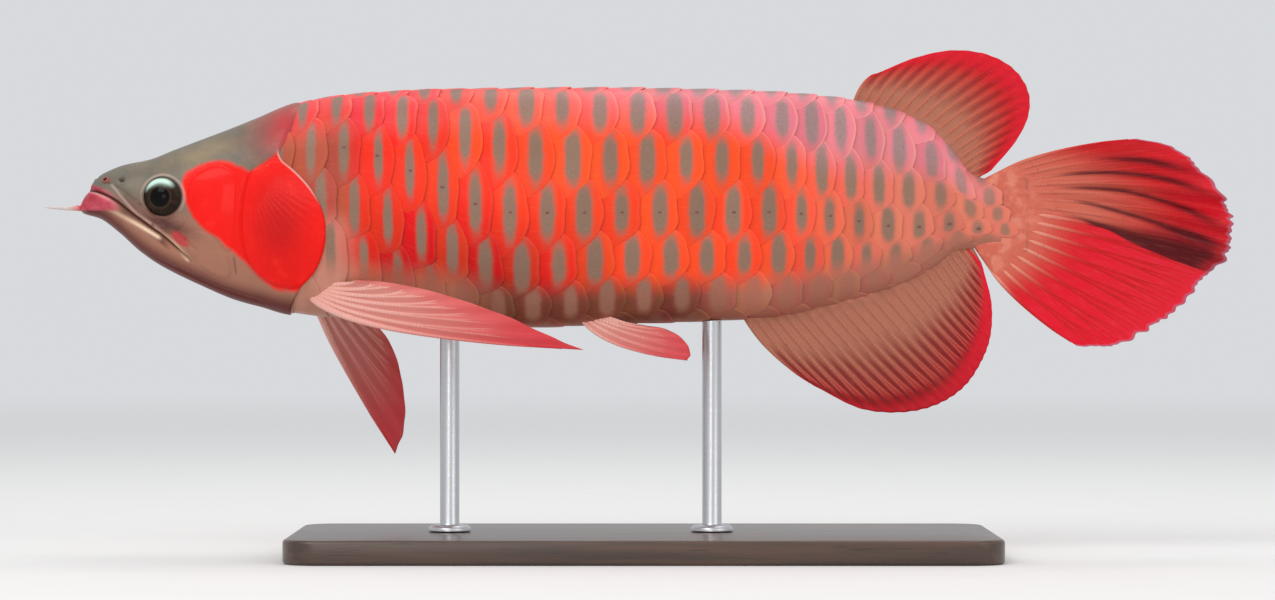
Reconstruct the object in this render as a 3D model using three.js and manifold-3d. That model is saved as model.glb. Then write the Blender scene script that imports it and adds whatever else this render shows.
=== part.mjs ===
// Asian arowana: a still, life-size display model on a plain stand.
// Millimetres, +Z up. The head points to -X and the fish's left side faces -Y.
// The origin is the middle of the underside of the stand's base.
import * as THREE from 'three';
import { mergeVertices } from 'three/addons/utils/BufferGeometryUtils.js';
import Module from 'manifold-3d';

const wasm = await Module();
wasm.setup();

// Driving sizes of the fish. Along the fish, s runs back from the tip of the lower jaw,
// and h is the height over the level of that tip.
const TOTAL_LENGTH = 480;
const JAW_TIP_X = -233.2;
const JAW_LEVEL_Z = 145.2;
const TAIL_SWEEP = 12;
const SWEEP_START = 240;
const NODE_GAP = 0.3;

// Outline seen from the side, as [s, h] points.
const BACK = [[-4, -1], [0, -0.2], [1.7, 2.1], [4.1, 4.6], [5.4, 8.0], [8.3, 12], [12.4, 14.3], [18.6, 16.6],
  [29, 18.8], [39.3, 22.8], [60, 30.6], [80.7, 38.5], [103.4, 44.3], [124, 46.3], [153, 47.6], [215, 48.2],
  [277, 47], [310, 44.7], [331, 41], [349.7, 33.9], [360, 24.4], [369.5, 12.6], [377, 10.2], [392, 9]];
const BELLY = [[-4, -1.8], [0, -2.4], [1.7, -3.6], [8.3, -5.6], [16.6, -11.6], [24.8, -19], [33.1, -24.8],
  [49.7, -33.1], [66.2, -39.9], [82.8, -43.7], [103, -46], [153, -50.1], [182, -50.6], [215, -49.4],
  [265, -47.6], [289.7, -45.9], [306, -42.6], [339.3, -33.1], [353.8, -25.7], [364, -18.8], [377, -17.2],
  [392, -17]];
const HALF_WIDTH = [[-4, 1.2], [0, 3.8], [1.7, 6.2], [5, 8.8], [10, 10.8], [18, 12.8], [36, 15.8], [60, 19],
  [90, 21.6], [130, 22.6], [190, 22.6], [240, 21], [285, 17.6], [320, 13.2], [350, 8.6], [372, 5], [392, 3.4]];
// Share of the height at which the body is widest, and how square its back and belly are.
const WIDEST_SHARE = [[0, 0.5], [40, 0.54], [100, 0.58], [392, 0.56]];
const BACK_FULLNESS = [[0, 2.1], [60, 2.35], [130, 2.6], [392, 2.3]];
const BELLY_FULLNESS = [[0, 2.2], [50, 2.1], [120, 1.9], [392, 2.0]];

// Lines on the side of the head.
const MOUTH_LINE = [[-20, 6.4], [5.8, 6.0], [9.9, 5.0], [16.6, 1.7], [21.9, -2.9], [29, -8.1], [38.1, -14.5],
  [48.4, -24.4]];
const JAW_REAR = [[49.6, -29], [50, -70]];
const GILL_TOP = [[93, 80], [90, 45], [85.5, 30]];
const GILL_REAR = [[83.2, 19.4], [90.5, 14], [97.5, 6.6], [102.2, -1.6], [103.8, -10.5], [102.6, -19.6],
  [98.5, -28.6], [91, -35.2]];
const GILL_BELOW = [[86.5, -46], [84, -70]];
const GILL_FRONT = [[80.7, -32.7], [72.4, -27.2], [68.3, -14.5], [68.6, 0], [71.6, 13.7]];
const GILL_LIFT = 1.5;
const GILL_THICKNESS = 3;
const CAUDAL_BASE = [[370.6, -40], [371.6, -17.4], [375.2, -9], [375.7, -1.6], [374.5, 10.3], [373.4, 40]];

const EYE = { s: 36, h: 2.9, radius: 9, depth: 5.5, sunk: 3.3, yaw: 0.19 };

// Scales: six rows a side between the middle of the back and the keel.
// Each row line is a share of the way round the side, from the back to the keel.
const ROW_LINES = [
  [[106, 0.0], [392, 0.0]],
  [[106, 0.02], [145, 0.055], [178, 0.11], [225, 0.18], [273, 0.173], [319, 0.19], [332, 0.24], [354, 0.285],
    [392, 0.31]],
  [[106, 0.1], [145, 0.19], [160, 0.244], [174, 0.29], [190, 0.345], [221, 0.352], [283, 0.342], [296, 0.354],
    [319, 0.424], [330, 0.45], [354, 0.465], [392, 0.51]],
  [[106, 0.295], [123, 0.335], [150, 0.445], [164, 0.505], [180, 0.535], [224, 0.541], [283, 0.543], [309, 0.572],
    [332, 0.639], [359, 0.695], [392, 0.72]],
  [[106, 0.5], [129, 0.565], [152, 0.67], [166, 0.725], [180, 0.75], [195, 0.731], [230, 0.704], [288, 0.714],
    [313, 0.755], [340, 0.815], [392, 0.86]],
  [[106, 0.66], [122, 0.72], [145, 0.8], [178, 0.88], [200, 0.875], [236, 0.851], [273, 0.859], [320, 0.905],
    [342, 0.93], [392, 0.95]],
  [[106, 1.0], [392, 1.0]],
];
const SCALE_PITCH = [[60, 13.8], [130, 13.6], [148, 12.9], [165, 14.0], [200, 15.3], [262, 15.2], [285, 13.8],
  [305, 12.0], [318, 11.8], [345, 13.0], [392, 10.5]];
const SCALE_LENGTH_MARK = 232.1;
const ROW_STAGGER = 0.3;
const SCALE_SWEEP = 1.6;
const SCALE_RISE = 1.1;
const SCALE_STEP = 0.4;
const SCALE_LINES = [0, 0.37, 0.66];

// Fins.
const FIN = {
  dorsal: { rays: 18, root: 3.0, tip: 1.0 },
  anal: { rays: 26, root: 3.0, tip: 1.0 },
  caudal: { rays: 17, root: 6.4, tip: 1.1 },
  pectoral: { rays: 7, root: 3.4, tip: 1.1 },
  pelvic: { rays: 6, root: 2.6, tip: 1.0 },
};
const MEMBRANE_SHARE = 0.55;
const MARGIN_NOTCH = 0.014;

// Stand.
const BASE = { length: 290, width: 130, height: 10, corner: 14, bevel: 1.5 };
const ROD = { radius: 4, flange: 9, intoBelly: 5, stations: [153, 261.5] };

// Small maths
const lerp = (a, b, t) => a + (b - a) * t;
const clamp = (x, a, b) => Math.min(b, Math.max(a, x));

// A smooth function through [x, value] points that doesn't overshoot them.
function curve(points) {
  const x = points.map((p) => p[0]);
  const y = points.map((p) => p[1]);
  const slopes = x.slice(1).map((value, i) => (y[i + 1] - y[i]) / (value - x[i]));
  const tangents = x.map((_, i) => {
    const before = slopes[Math.max(0, i - 1)];
    const after = slopes[Math.min(slopes.length - 1, i)];
    return before * after <= 0 ? 0 : (2 * before * after) / (before + after);
  });
  return (at) => {
    if (at <= x[0]) return y[0];
    if (at >= x[x.length - 1]) return y[y.length - 1];
    let i = 0;
    while (at > x[i + 1]) i += 1;
    const width = x[i + 1] - x[i];
    const t = (at - x[i]) / width;
    const rise = t * t * (3 - 2 * t);
    return lerp(y[i], y[i + 1], rise)
      + width * (tangents[i] * t * (1 - t) * (1 - t) - tangents[i + 1] * t * t * (1 - t));
  };
}

// The body's section at s, and points on it
const backAt = curve(BACK);
const bellyAt = curve(BELLY);
const widthAt = curve(HALF_WIDTH);
const widestAt = curve(WIDEST_SHARE);
const backFullness = curve(BACK_FULLNESS);
const bellyFullness = curve(BELLY_FULLNESS);

function section(s) {
  const top = backAt(s);
  const bottom = bellyAt(s);
  const middle = lerp(bottom, top, widestAt(s));
  return { top, bottom, middle, width: widthAt(s), upper: backFullness(s), lower: bellyFullness(s) };
}

// Half the body's width at a height h.
function sideAt(s, h) {
  const form = section(s);
  const above = h > form.middle;
  const reach = above ? form.top - form.middle : form.middle - form.bottom;
  const power = above ? form.upper : form.lower;
  const share = clamp(Math.abs(h - form.middle) / reach, 0, 1);
  return form.width * Math.max(0, 1 - share ** power) ** (1 / power);
}

// A point of the section at an angle from the back (0) to the keel (PI), pushed out by lift.
function sectionPoint(form, angle, lift) {
  const above = angle < Math.PI / 2;
  const reach = above ? form.top - form.middle : form.middle - form.bottom;
  const power = above ? form.upper : form.lower;
  const across = Math.max(0, Math.sin(angle)) ** (2 / power);
  const along = Math.abs(Math.cos(angle)) ** (2 / power);
  const normalY = across ** (power - 1) / form.width;
  const normalH = along ** (power - 1) / reach;
  const size = Math.hypot(normalY, normalH);
  const sign = above ? 1 : -1;
  return {
    y: form.width * across + (lift * normalY) / size,
    h: form.middle + sign * (reach * along + (lift * normalH) / size),
  };
}

const ARC_STEPS = 48;
function roundPoint(s, share, lift) {
  const form = section(s);
  const lengths = [0];
  let last = sectionPoint(form, 0, 0);
  for (let i = 1; i <= ARC_STEPS; i += 1) {
    const next = sectionPoint(form, (Math.PI * i) / ARC_STEPS, 0);
    lengths.push(lengths[i - 1] + Math.hypot(next.y - last.y, next.h - last.h));
    last = next;
  }
  const wanted = share * lengths[ARC_STEPS];
  let i = 0;
  while (i < ARC_STEPS - 1 && lengths[i + 1] < wanted) i += 1;
  const part = (wanted - lengths[i]) / (lengths[i + 1] - lengths[i]);
  return sectionPoint(form, (Math.PI * (i + clamp(part, 0, 1))) / ARC_STEPS, lift);
}

// Closed meshes as manifold solids
function solidFromTriangles(positions, triangles) {
  const geometry = new THREE.BufferGeometry();
  geometry.setAttribute('position', new THREE.Float32BufferAttribute(positions, 3));
  geometry.setIndex(triangles);
  return solidFromGeometry(geometry);
}

function solidFromGeometry(source) {
  const geometry = source.clone();
  geometry.deleteAttribute('normal');
  geometry.deleteAttribute('uv');
  const merged = mergeVertices(geometry, 1e-5);
  const mesh = new wasm.Mesh({
    numProp: 3,
    vertProperties: new Float32Array(merged.attributes.position.array),
    triVerts: new Uint32Array(merged.index.array),
  });
  return new wasm.Manifold(mesh);
}

// The largest closed surface of a solid.
function largest(solid) {
  const pieces = solid.decompose();
  return pieces.reduce((best, piece) => (piece.volume() > best.volume() ? piece : best));
}

// A closed solid through rings of points; every ring has the same count.
function loft(rings) {
  const count = rings[0].length;
  const positions = rings.flat(2);
  const triangles = [];
  for (let r = 0; r < rings.length - 1; r += 1) {
    for (let i = 0; i < count; i += 1) {
      const a = r * count + i;
      const b = r * count + ((i + 1) % count);
      triangles.push(a, b, b + count, a, b + count, a + count);
    }
  }
  for (const [r, flip] of [[0, true], [rings.length - 1, false]]) {
    const middle = positions.length / 3;
    const ring = rings[r];
    for (let axis = 0; axis < 3; axis += 1) {
      positions.push(ring.reduce((sum, point) => sum + point[axis], 0) / count);
    }
    for (let i = 0; i < count; i += 1) {
      const a = r * count + i;
      const b = r * count + ((i + 1) % count);
      triangles.push(middle, flip ? b : a, flip ? a : b);
    }
  }
  return solidFromTriangles(positions, triangles);
}

// A closed slab between two grids of points, split alike on both faces.
function slab(front, back) {
  const rows = front.length;
  const columns = front[0].length;
  const positions = [...front.flat(2), ...back.flat(2)];
  const shift = rows * columns;
  const triangles = [];
  for (let r = 0; r < rows - 1; r += 1) {
    for (let c = 0; c < columns - 1; c += 1) {
      const a = r * columns + c;
      const b = a + columns;
      triangles.push(a, b, b + 1, a, b + 1, a + 1);
      triangles.push(shift + a, shift + b + 1, shift + b, shift + a, shift + a + 1, shift + b + 1);
    }
  }
  const rim = [];
  for (let c = 0; c < columns; c += 1) rim.push(c);
  for (let r = 1; r < rows; r += 1) rim.push(r * columns + columns - 1);
  for (let c = columns - 2; c >= 0; c -= 1) rim.push((rows - 1) * columns + c);
  for (let r = rows - 2; r > 0; r -= 1) rim.push(r * columns);
  rim.forEach((a, i) => {
    const b = rim[(i + 1) % rim.length];
    triangles.push(a, b, shift + b, a, shift + b, shift + a);
  });
  return outwards(positions, triangles);
}

// Turns every face round where the mesh came out inside out.
function outwards(positions, triangles) {
  let volume = 0;
  const point = (i) => new THREE.Vector3(...positions.slice(3 * i, 3 * i + 3));
  for (let i = 0; i < triangles.length; i += 3) {
    const [a, b, c] = [point(triangles[i]), point(triangles[i + 1]), point(triangles[i + 2])];
    volume += a.dot(b.cross(c));
  }
  return solidFromTriangles(positions, volume > 0 ? triangles : [...triangles].reverse());
}

// A prism across the fish, from an outline in [s, h].
const PRISM_REACH = 120;
function prism(outline) {
  const shape = new THREE.Shape(outline.map(([s, h]) => new THREE.Vector2(s, h)));
  const geometry = new THREE.ExtrudeGeometry(shape, { depth: 2 * PRISM_REACH, bevelEnabled: false });
  geometry.rotateX(Math.PI / 2);
  geometry.translate(0, PRISM_REACH, 0);
  return solidFromGeometry(geometry);
}

const shifted = (line, ds, dh) => line.map(([s, h]) => [s + ds, h + dh]);

// The smooth body between two stations.
function smoothForm(stations, around, lift) {
  return loft(stations.map((s) => {
    const ring = [];
    for (let i = 0; i < around; i += 1) {
      const turn = (2 * i) / around;
      const point = roundPoint(s, turn <= 1 ? turn : 2 - turn, lift);
      ring.push([s, turn <= 1 ? -point.y : point.y, point.h]);
    }
    return ring;
  }));
}

// The trunk with its scales: each scale rises to its rear edge, a rounded arc, and drops
// there to the next one. Rows are staggered, and a scale lies over those behind it.
const pitchAt = curve(SCALE_PITCH);
const rowAt = ROW_LINES.map(curve);
const LAST_ROW = ROW_LINES.length - 1;
const PITCH_STEP = 0.5;

// The station where the count of scales from SCALE_LENGTH_MARK reaches a number.
function stationOf(count) {
  const direction = Math.sign(count);
  let s = SCALE_LENGTH_MARK;
  let left = Math.abs(count);
  while (left > 0) {
    const part = Math.min(left, PITCH_STEP / pitchAt(s));
    s += direction * part * pitchAt(s);
    left -= part;
  }
  return s;
}

// Where a scale's rear edge crosses a line at a share of the way to the next row.
function edgeStation(row, scale, away) {
  const count = scale + (row - 3) * ROW_STAGGER - SCALE_SWEEP * Math.abs(away) ** 3;
  return stationOf(count);
}

// The four stations of each pair of scale edges along one line, with their heights.
function scaleLine(row, share, firstPair, lastPair) {
  const marks = [];
  for (let pair = firstPair; pair <= lastPair; pair += 1) {
    const own = (pair - row) % 2 === 0;
    const scale = Math.floor((pair - row) / 2);
    const edge = own ? edgeStation(row, scale, share) : edgeStation(row + 1, scale, 1 - share);
    const rival = own ? edgeStation(row + 1, scale - 1, 1 - share) : edgeStation(row, scale, share);
    const gap = edge - rival;
    const hidden = gap < 1.5 * SCALE_STEP;
    const away = own ? share : 1 - share;
    marks.push({
      station: hidden ? rival + 1.5 * SCALE_STEP + Math.min(0.45 * pitchAt(rival), -0.6 * gap + 0.9) : edge,
      rise: hidden ? 0 : SCALE_RISE * (1 - 0.5 * away * away),
      hidden,
    });
  }
  const points = [];
  marks.forEach((mark, i) => {
    const before = marks[Math.max(0, i - 1)];
    const after = marks[Math.min(marks.length - 1, i + 1)];
    const share01 = (mark.station - before.station) / Math.max(1, after.station - before.station);
    const level = mark.hidden ? after.rise * clamp(share01, 0, 1) : mark.rise;
    points.push([mark.station - SCALE_STEP / 2, level], [mark.station + SCALE_STEP / 2, mark.hidden ? level : 0]);
  });
  return points;
}

function scaledForm(lift) {
  const FIRST_PAIR = -19;
  const LAST_PAIR = 31;
  const lines = [];
  for (let row = 0; row < LAST_ROW; row += 1) {
    for (const share of SCALE_LINES) lines.push({ row, share });
  }
  lines.push({ row: LAST_ROW - 1, share: 1 });
  const grid = lines.map(({ row, share }) => scaleLine(row, share, FIRST_PAIR, LAST_PAIR).map(([s, rise]) => {
    const round = lerp(rowAt[row](s), rowAt[row + 1](s), share);
    const point = roundPoint(s, round, lift + rise);
    return [s, point.y, point.h];
  }));
  const rings = grid[0].map((_, column) => {
    const left = grid.map((line) => [line[column][0], -line[column][1], line[column][2]]);
    const right = grid.slice(1, -1).reverse().map((line) => line[column]);
    return [...left, ...right];
  });
  return loft(rings);
}

// Fins: a fan of rays from a base line to a margin line, each ray a ridge on the membrane.
// base, bend and margin are lists of [s, y, h]; a ray is a curve from base by bend to margin.
function rayedFin({ rays, root, tip }, lines, steps, shape = (point) => point) {
  const curves = lines.map((line) => new THREE.CatmullRomCurve3(line.map((p) => new THREE.Vector3(...p))));
  const columns = 2 * rays - 1;
  const centre = [];
  for (let r = 0; r <= steps; r += 1) {
    const row = [];
    for (let c = 0; c < columns; c += 1) {
      const t = c / (columns - 1);
      const out = (r / steps) * (c % 2 === 0 ? 1 : 1 - MARGIN_NOTCH);
      const [base, bend, margin] = curves.map((line) => line.getPoint(t));
      const first = base.lerp(bend, out);
      const second = bend.lerp(margin, out);
      row.push(shape(first.lerp(second, out), t, out));
    }
    centre.push(row);
  }
  const faces = [-1, 1].map((side) => centre.map((row, r) => row.map((point, c) => {
    const along = centre[Math.min(steps, r + 1)][c].clone().sub(centre[Math.max(0, r - 1)][c]);
    const across = row[Math.min(columns - 1, c + 1)].clone().sub(row[Math.max(0, c - 1)]);
    const normal = along.cross(across).normalize();
    const crest = c % 2 === 0 ? 1 : MEMBRANE_SHARE;
    const thickness = lerp(root, tip, Math.sqrt(r / steps)) * crest;
    return point.clone().addScaledVector(normal, (side * thickness) / 2).toArray();
  })));
  return slab(faces[0], faces[1]);
}

// A rib along the side of the head: a band that follows a line of [s, h] points.
function band(line, halfWidth, lift, side) {
  const path = new THREE.CatmullRomCurve3(line.map(([s, h]) => new THREE.Vector3(s, 0, h)));
  const STEPS = 8;
  const outer = [];
  const inner = [];
  for (let i = 0; i <= STEPS; i += 1) {
    const t = i / STEPS;
    const point = path.getPoint(t);
    const tangent = path.getTangent(t);
    const taper = 0.35 + 0.65 * Math.sin(Math.PI * clamp(t * 0.9 + 0.08, 0, 1));
    const rowOut = [];
    const rowIn = [];
    for (const b of [-1, 0, 1]) {
      const s = point.x - tangent.z * halfWidth * taper * b;
      const h = point.z + tangent.x * halfWidth * taper * b;
      const side0 = sideAt(s, h);
      rowOut.push([s, side * (side0 + (Math.abs(b) < 0.9 ? lift : 0.1)), h]);
      rowIn.push([s, side * (side0 - 1.5), h]);
    }
    outer.push(rowOut);
    inner.push(rowIn);
  }
  return slab(outer, inner);
}

// A bony plate on the side of the head, between two lines over a stretch of s.
function plate(from, to, lowLine, highLine, lift, side) {
  const low = curve(lowLine);
  const high = curve(highLine);
  const STEPS = 4;
  const outer = [];
  const inner = [];
  for (let i = 0; i <= STEPS; i += 1) {
    const s = lerp(from, to, i / STEPS);
    const rowOut = [];
    const rowIn = [];
    for (let k = 0; k <= STEPS; k += 1) {
      const h = lerp(low(s), high(s), k / STEPS);
      const border = i === 0 || k === 0 || i === STEPS || k === STEPS;
      rowOut.push([s, side * (sideAt(s, h) + (border ? 0.15 : lift)), h]);
      rowIn.push([s, side * (sideAt(s, h) - 1.5), h]);
    }
    outer.push(rowOut);
    inner.push(rowIn);
  }
  return slab(outer, inner);
}

// A tapered feeler or tube along a line of [s, y, h] points.
function feeler(line, rootRadius, tipRadius, sides, steps) {
  const path = new THREE.CatmullRomCurve3(line.map((p) => new THREE.Vector3(...p)));
  const rings = [];
  for (let i = 0; i <= steps; i += 1) {
    const t = i / steps;
    const point = path.getPoint(t);
    const tangent = path.getTangent(t);
    const across = new THREE.Vector3(0, 0, 1).cross(tangent).normalize();
    const up = tangent.clone().cross(across);
    const radius = lerp(rootRadius, tipRadius, t);
    const ring = [];
    for (let k = 0; k < sides; k += 1) {
      const angle = (2 * Math.PI * k) / sides;
      ring.push(point.clone().addScaledVector(across, radius * Math.cos(angle))
        .addScaledVector(up, radius * Math.sin(angle)).toArray());
    }
    rings.push(ring);
  }
  return loft(rings);
}

// Head, lower jaw, gill covers and eyes
const HEAD_STATIONS = [0, 1.2, 3, 5.2, 6.2, 8.5, 12, 17, 23, 29, 36, 43, 50, 58, 67, 76, 85, 94, 103, 110];
const GILL_STATIONS = [60, 67, 76, 85, 94, 103, 110];
const HEAD_ROUND = 26;
const headForm = smoothForm(HEAD_STATIONS, HEAD_ROUND, 0);

const gillLine = [...GILL_TOP, ...GILL_REAR, ...GILL_BELOW];
const headOutline = [...shifted(MOUTH_LINE, 0, NODE_GAP / 2), ...shifted(JAW_REAR, NODE_GAP / 2, 0),
  ...[...shifted(gillLine, -NODE_GAP / 2, 0)].reverse(), [-20, 80]];
const jawOutline = [...shifted(MOUTH_LINE, 0, -NODE_GAP / 2), ...shifted(JAW_REAR, -NODE_GAP / 2, 0), [-20, -70]];
const gillOutline = [...shifted(GILL_REAR, -NODE_GAP / 2, 0), ...GILL_FRONT];

// An outline pushed out from its middle by a clearance.
function grown(outline, clearance) {
  const middle = [0, 1].map((axis) => outline.reduce((sum, p) => sum + p[axis], 0) / outline.length);
  return outline.map(([s, h]) => {
    const reach = Math.hypot(s - middle[0], h - middle[1]);
    const scale = (reach + clearance) / reach;
    return [middle[0] + (s - middle[0]) * scale, middle[1] + (h - middle[1]) * scale];
  });
}

const gillPrism = prism(gillOutline);
const gillPlates = smoothForm(GILL_STATIONS, HEAD_ROUND, GILL_LIFT).intersect(gillPrism)
  .subtract(smoothForm(GILL_STATIONS, HEAD_ROUND, GILL_LIFT - GILL_THICKNESS));
const gillPockets = prism(grown(gillOutline, 1.4 * NODE_GAP))
  .subtract(smoothForm(GILL_STATIONS, HEAD_ROUND, GILL_LIFT - GILL_THICKNESS - NODE_GAP));

const UPPER_LIP = [[8, 9.2], [15.3, 5.6], [22.5, -0.2], [30, -5.9], [38.9, -11.9], [47.6, -21.4]];
const LOWER_LIP = [[1.5, 0.4], [8, 1.6], [14.5, 0], [20, -4.4], [28, -10.4], [37, -16.6]];
const CHEEK_LOW = [[46, -3], [52, -9.5], [60, -13.5], [67, -22]];
const CHEEK_HIGH = [[46, 9], [52, 14.5], [60, 16.5], [67, 13]];
const RING_LOW = [[24, -1], [30, -6.5], [37, -8.5], [45.5, -7]];
const RING_HIGH = [[24, 1.5], [30, -3], [37, -5.2], [45.5, -3]];

function eyeSolid(side, clearance) {
  const geometry = new THREE.SphereGeometry(1, 14, 9);
  geometry.scale(EYE.radius + clearance, EYE.depth + clearance, EYE.radius + clearance);
  geometry.rotateZ(side * EYE.yaw);
  geometry.translate(EYE.s, side * (sideAt(EYE.s, EYE.h) - EYE.sunk), EYE.h);
  return solidFromGeometry(geometry);
}

// The front nostril: a short tube with an open end.
function nostril(side) {
  const profile = [[0, -1.5], [1.7, -1.5], [1.35, 1.9], [0.8, 1.9], [0.7, 0.8], [0, 0.8]];
  const geometry = new THREE.LatheGeometry(profile.map(([r, y]) => new THREE.Vector2(r, y)), 8);
  geometry.rotateX(side * 0.9);
  geometry.rotateY(-0.5);
  geometry.rotateX(Math.PI / 2);
  const at = { s: 12.4, h: 9.6 };
  geometry.translate(at.s, side * (sideAt(at.s, at.h) - 0.3), at.h);
  return solidFromGeometry(geometry);
}

let head = headForm;
let lowerJaw = headForm;
for (const side of [-1, 1]) {
  head = head.add(band(UPPER_LIP, 2.6, 0.8, side));
  head = head.add(plate(46, 67, CHEEK_LOW, CHEEK_HIGH, 0.6, side));
  head = head.add(plate(24, 45.5, RING_LOW, RING_HIGH, 0.5, side));
  head = head.add(nostril(side));
  lowerJaw = lowerJaw.add(band(LOWER_LIP, 2.2, 0.8, side));
}
head = head.intersect(prism(headOutline)).subtract(gillPockets);
for (const side of [-1, 1]) head = head.subtract(eyeSolid(side, NODE_GAP));
lowerJaw = lowerJaw.intersect(prism(jawOutline));

// Torso and tail, parted by thin cuts
const TORSO_CUTS = [196, 300];
const trunk = scaledForm(0);
const liftedTrunk = scaledForm(1.15 * NODE_GAP);
const trunkClear = liftedTrunk.translate(NODE_GAP, 0, 0).add(liftedTrunk.translate(-NODE_GAP, 0, 0));
const FAR = 90;
const block = (from, to) => [[from, -FAR], [to, -FAR], [to, FAR], [from, FAR]];
const gillLineBack = shifted(gillLine, NODE_GAP / 2, 0);
const halfGap = NODE_GAP / 2;
const torsoFront = trunk.intersect(prism([...gillLineBack, [TORSO_CUTS[0] - halfGap, -70], [TORSO_CUTS[0] - halfGap, 80]]));
const torsoRear = trunk.intersect(prism(block(TORSO_CUTS[0] + halfGap, TORSO_CUTS[1] - halfGap)));
const tail = trunk.intersect(prism([[TORSO_CUTS[1] + halfGap, FAR], [TORSO_CUTS[1] + halfGap, -FAR],
  [369, -FAR], ...shifted(CAUDAL_BASE, -halfGap, 0), [373, FAR]]));

// Fins on the middle line
const onLine = (points) => points.map(([s, h]) => [s, 0, h]);
const DORSAL = [
  [[320, 40], [334, 36], [350, 29.5], [361, 18], [368, 10]],
  [[322, 44], [338, 46], [358, 44], [372, 33], [371, 12]],
  [[324.5, 50.5], [334, 56.5], [349, 62], [366, 64.4], [381, 60.8], [390.5, 52.5], [393.8, 42], [390.5, 31], [377.5, 14.5]],
];
const ANAL = [
  [[274, -44], [294, -41.5], [316, -36.5], [338, -29], [355, -20.5], [366, -14.5]],
  [[275, -50], [300, -57], [328, -59], [350, -52], [364, -37], [370, -20]],
  [[279, -56], [292, -64.6], [306, -76.4], [322, -84.4], [341, -86], [357, -81.8], [370, -72], [377, -57.5],
    [377.6, -42], [374, -26]],
];
const dorsalFin = rayedFin(FIN.dorsal, DORSAL.map(onLine), 5).subtract(trunkClear);
const analFin = rayedFin(FIN.anal, ANAL.map(onLine), 4).subtract(trunkClear);

// Tail fin: pleats in its upper half, one deep crease, and the lower lobe turned to the light
const CAUDAL = [
  [[370, 8.5], [371, -1], [369, -15.5]],
  [[398, 24.5], [408, 14], [414, -4], [404, -24], [386, -42]],
  [[438, 27.6], [456, 23.8], [469.5, 12.4], [478.4, 0], [480.2, -11], [478.6, -21.5], [468.5, -30.5],
    [457, -42.5], [444, -51.5], [429, -58.6], [413, -58.8]],
];
const CREASE = 0.56;
const PLEATS = 5;
const PLEAT_DEPTH = 2.4;
const CREASE_DEPTH = 7;
const LOBE_TURN = 13;
function pleated(point, t, out) {
  const upper = clamp((CREASE - t) / CREASE, 0, 1);
  const lower = clamp((t - CREASE) / (1 - CREASE), 0, 1);
  const wave = PLEAT_DEPTH * Math.sin(2 * Math.PI * PLEATS * upper) * Math.sin(Math.PI * Math.min(1, upper * 1.2));
  const fold = CREASE_DEPTH * (1 - upper * 1.4) - (CREASE_DEPTH + LOBE_TURN) * lower;
  point.y += out * out * (fold + wave);
  return point;
}
const caudalOutline = [[520, -FAR], [520, FAR], [373.6, FAR], ...[...shifted(CAUDAL_BASE, halfGap, 0)].reverse(),
  [369, -FAR]];
const caudalFin = rayedFin(FIN.caudal, CAUDAL.map(onLine), 5, pleated).intersect(prism(caudalOutline));

// Paired fins: the left pectoral is held out level and the right one hangs down
const PECTORAL_LEFT = [
  [[96, -8, -37.5], [99, -9.5, -35.5], [102, -11, -33]],
  [[112, -33, -54], [124, -31, -44], [116, -20, -33]],
  [[209, -46, -59.4], [196, -45, -54], [180, -42, -46.6], [163, -38, -40.4], [146, -33, -35.4], [128, -27, -32],
    [115, -22, -31.2]],
];
const PECTORAL_RIGHT = [
  [[96, 8, -37.5], [99, 9.5, -35.5], [102, 11, -33]],
  [[100, 31, -58], [110, 37, -50], [109, 26, -39]],
  [[127, 57, -105], [130, 62, -97], [131, 64, -87], [130, 62, -76], [128, 56, -65], [124, 47, -55], [117, 36, -47]],
];
const PELVIC_LEFT = [
  [[207, -2.5, -46.5], [211, -3.2, -46], [215, -3.6, -45]],
  [[216, -13, -60], [228, -14, -54], [224, -10, -49]],
  [[249, -21, -65], [253.5, -20, -61], [252, -18, -55.5], [244, -15.5, -51.2], [232, -12.5, -49.6]],
];
const mirrored = (lines) => lines.map((line) => line.map(([s, y, h]) => [s, -y, h]));
const pairedFins = {
  pectoral_fin_left: rayedFin(FIN.pectoral, PECTORAL_LEFT, 7),
  pectoral_fin_right: rayedFin(FIN.pectoral, PECTORAL_RIGHT, 7),
  pelvic_fin_left: rayedFin(FIN.pelvic, PELVIC_LEFT, 5),
  pelvic_fin_right: rayedFin(FIN.pelvic, mirrored(PELVIC_LEFT), 5),
};
const headClear = smoothForm(HEAD_STATIONS, HEAD_ROUND, GILL_LIFT + NODE_GAP);

// Barbels from the tip of the lower jaw
const BARBEL = [[0.6, 3.2, -1.0], [-3.5, 4.4, -1.4], [-8, 5.8, -0.9], [-13.6, 7.4, -1.6]];
const BARBEL_OUTLINE = [[-30, -20], [-NODE_GAP, -20], [-NODE_GAP, 20], [-30, 20]];

// Stand
function standBase() {
  const [x, y, r] = [BASE.length / 2 - BASE.bevel, BASE.width / 2 - BASE.bevel, BASE.corner];
  const shape = new THREE.Shape();
  shape.absarc(x - r, y - r, r, 0, Math.PI / 2);
  shape.absarc(-x + r, y - r, r, Math.PI / 2, Math.PI);
  shape.absarc(-x + r, -y + r, r, Math.PI, 1.5 * Math.PI);
  shape.absarc(x - r, -y + r, r, 1.5 * Math.PI, 2 * Math.PI);
  return new THREE.ExtrudeGeometry(shape, {
    depth: BASE.height - 2 * BASE.bevel,
    bevelThickness: BASE.bevel,
    bevelSize: BASE.bevel,
    bevelSegments: 1,
    curveSegments: 4,
  }).translate(0, 0, BASE.bevel);
}

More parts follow.
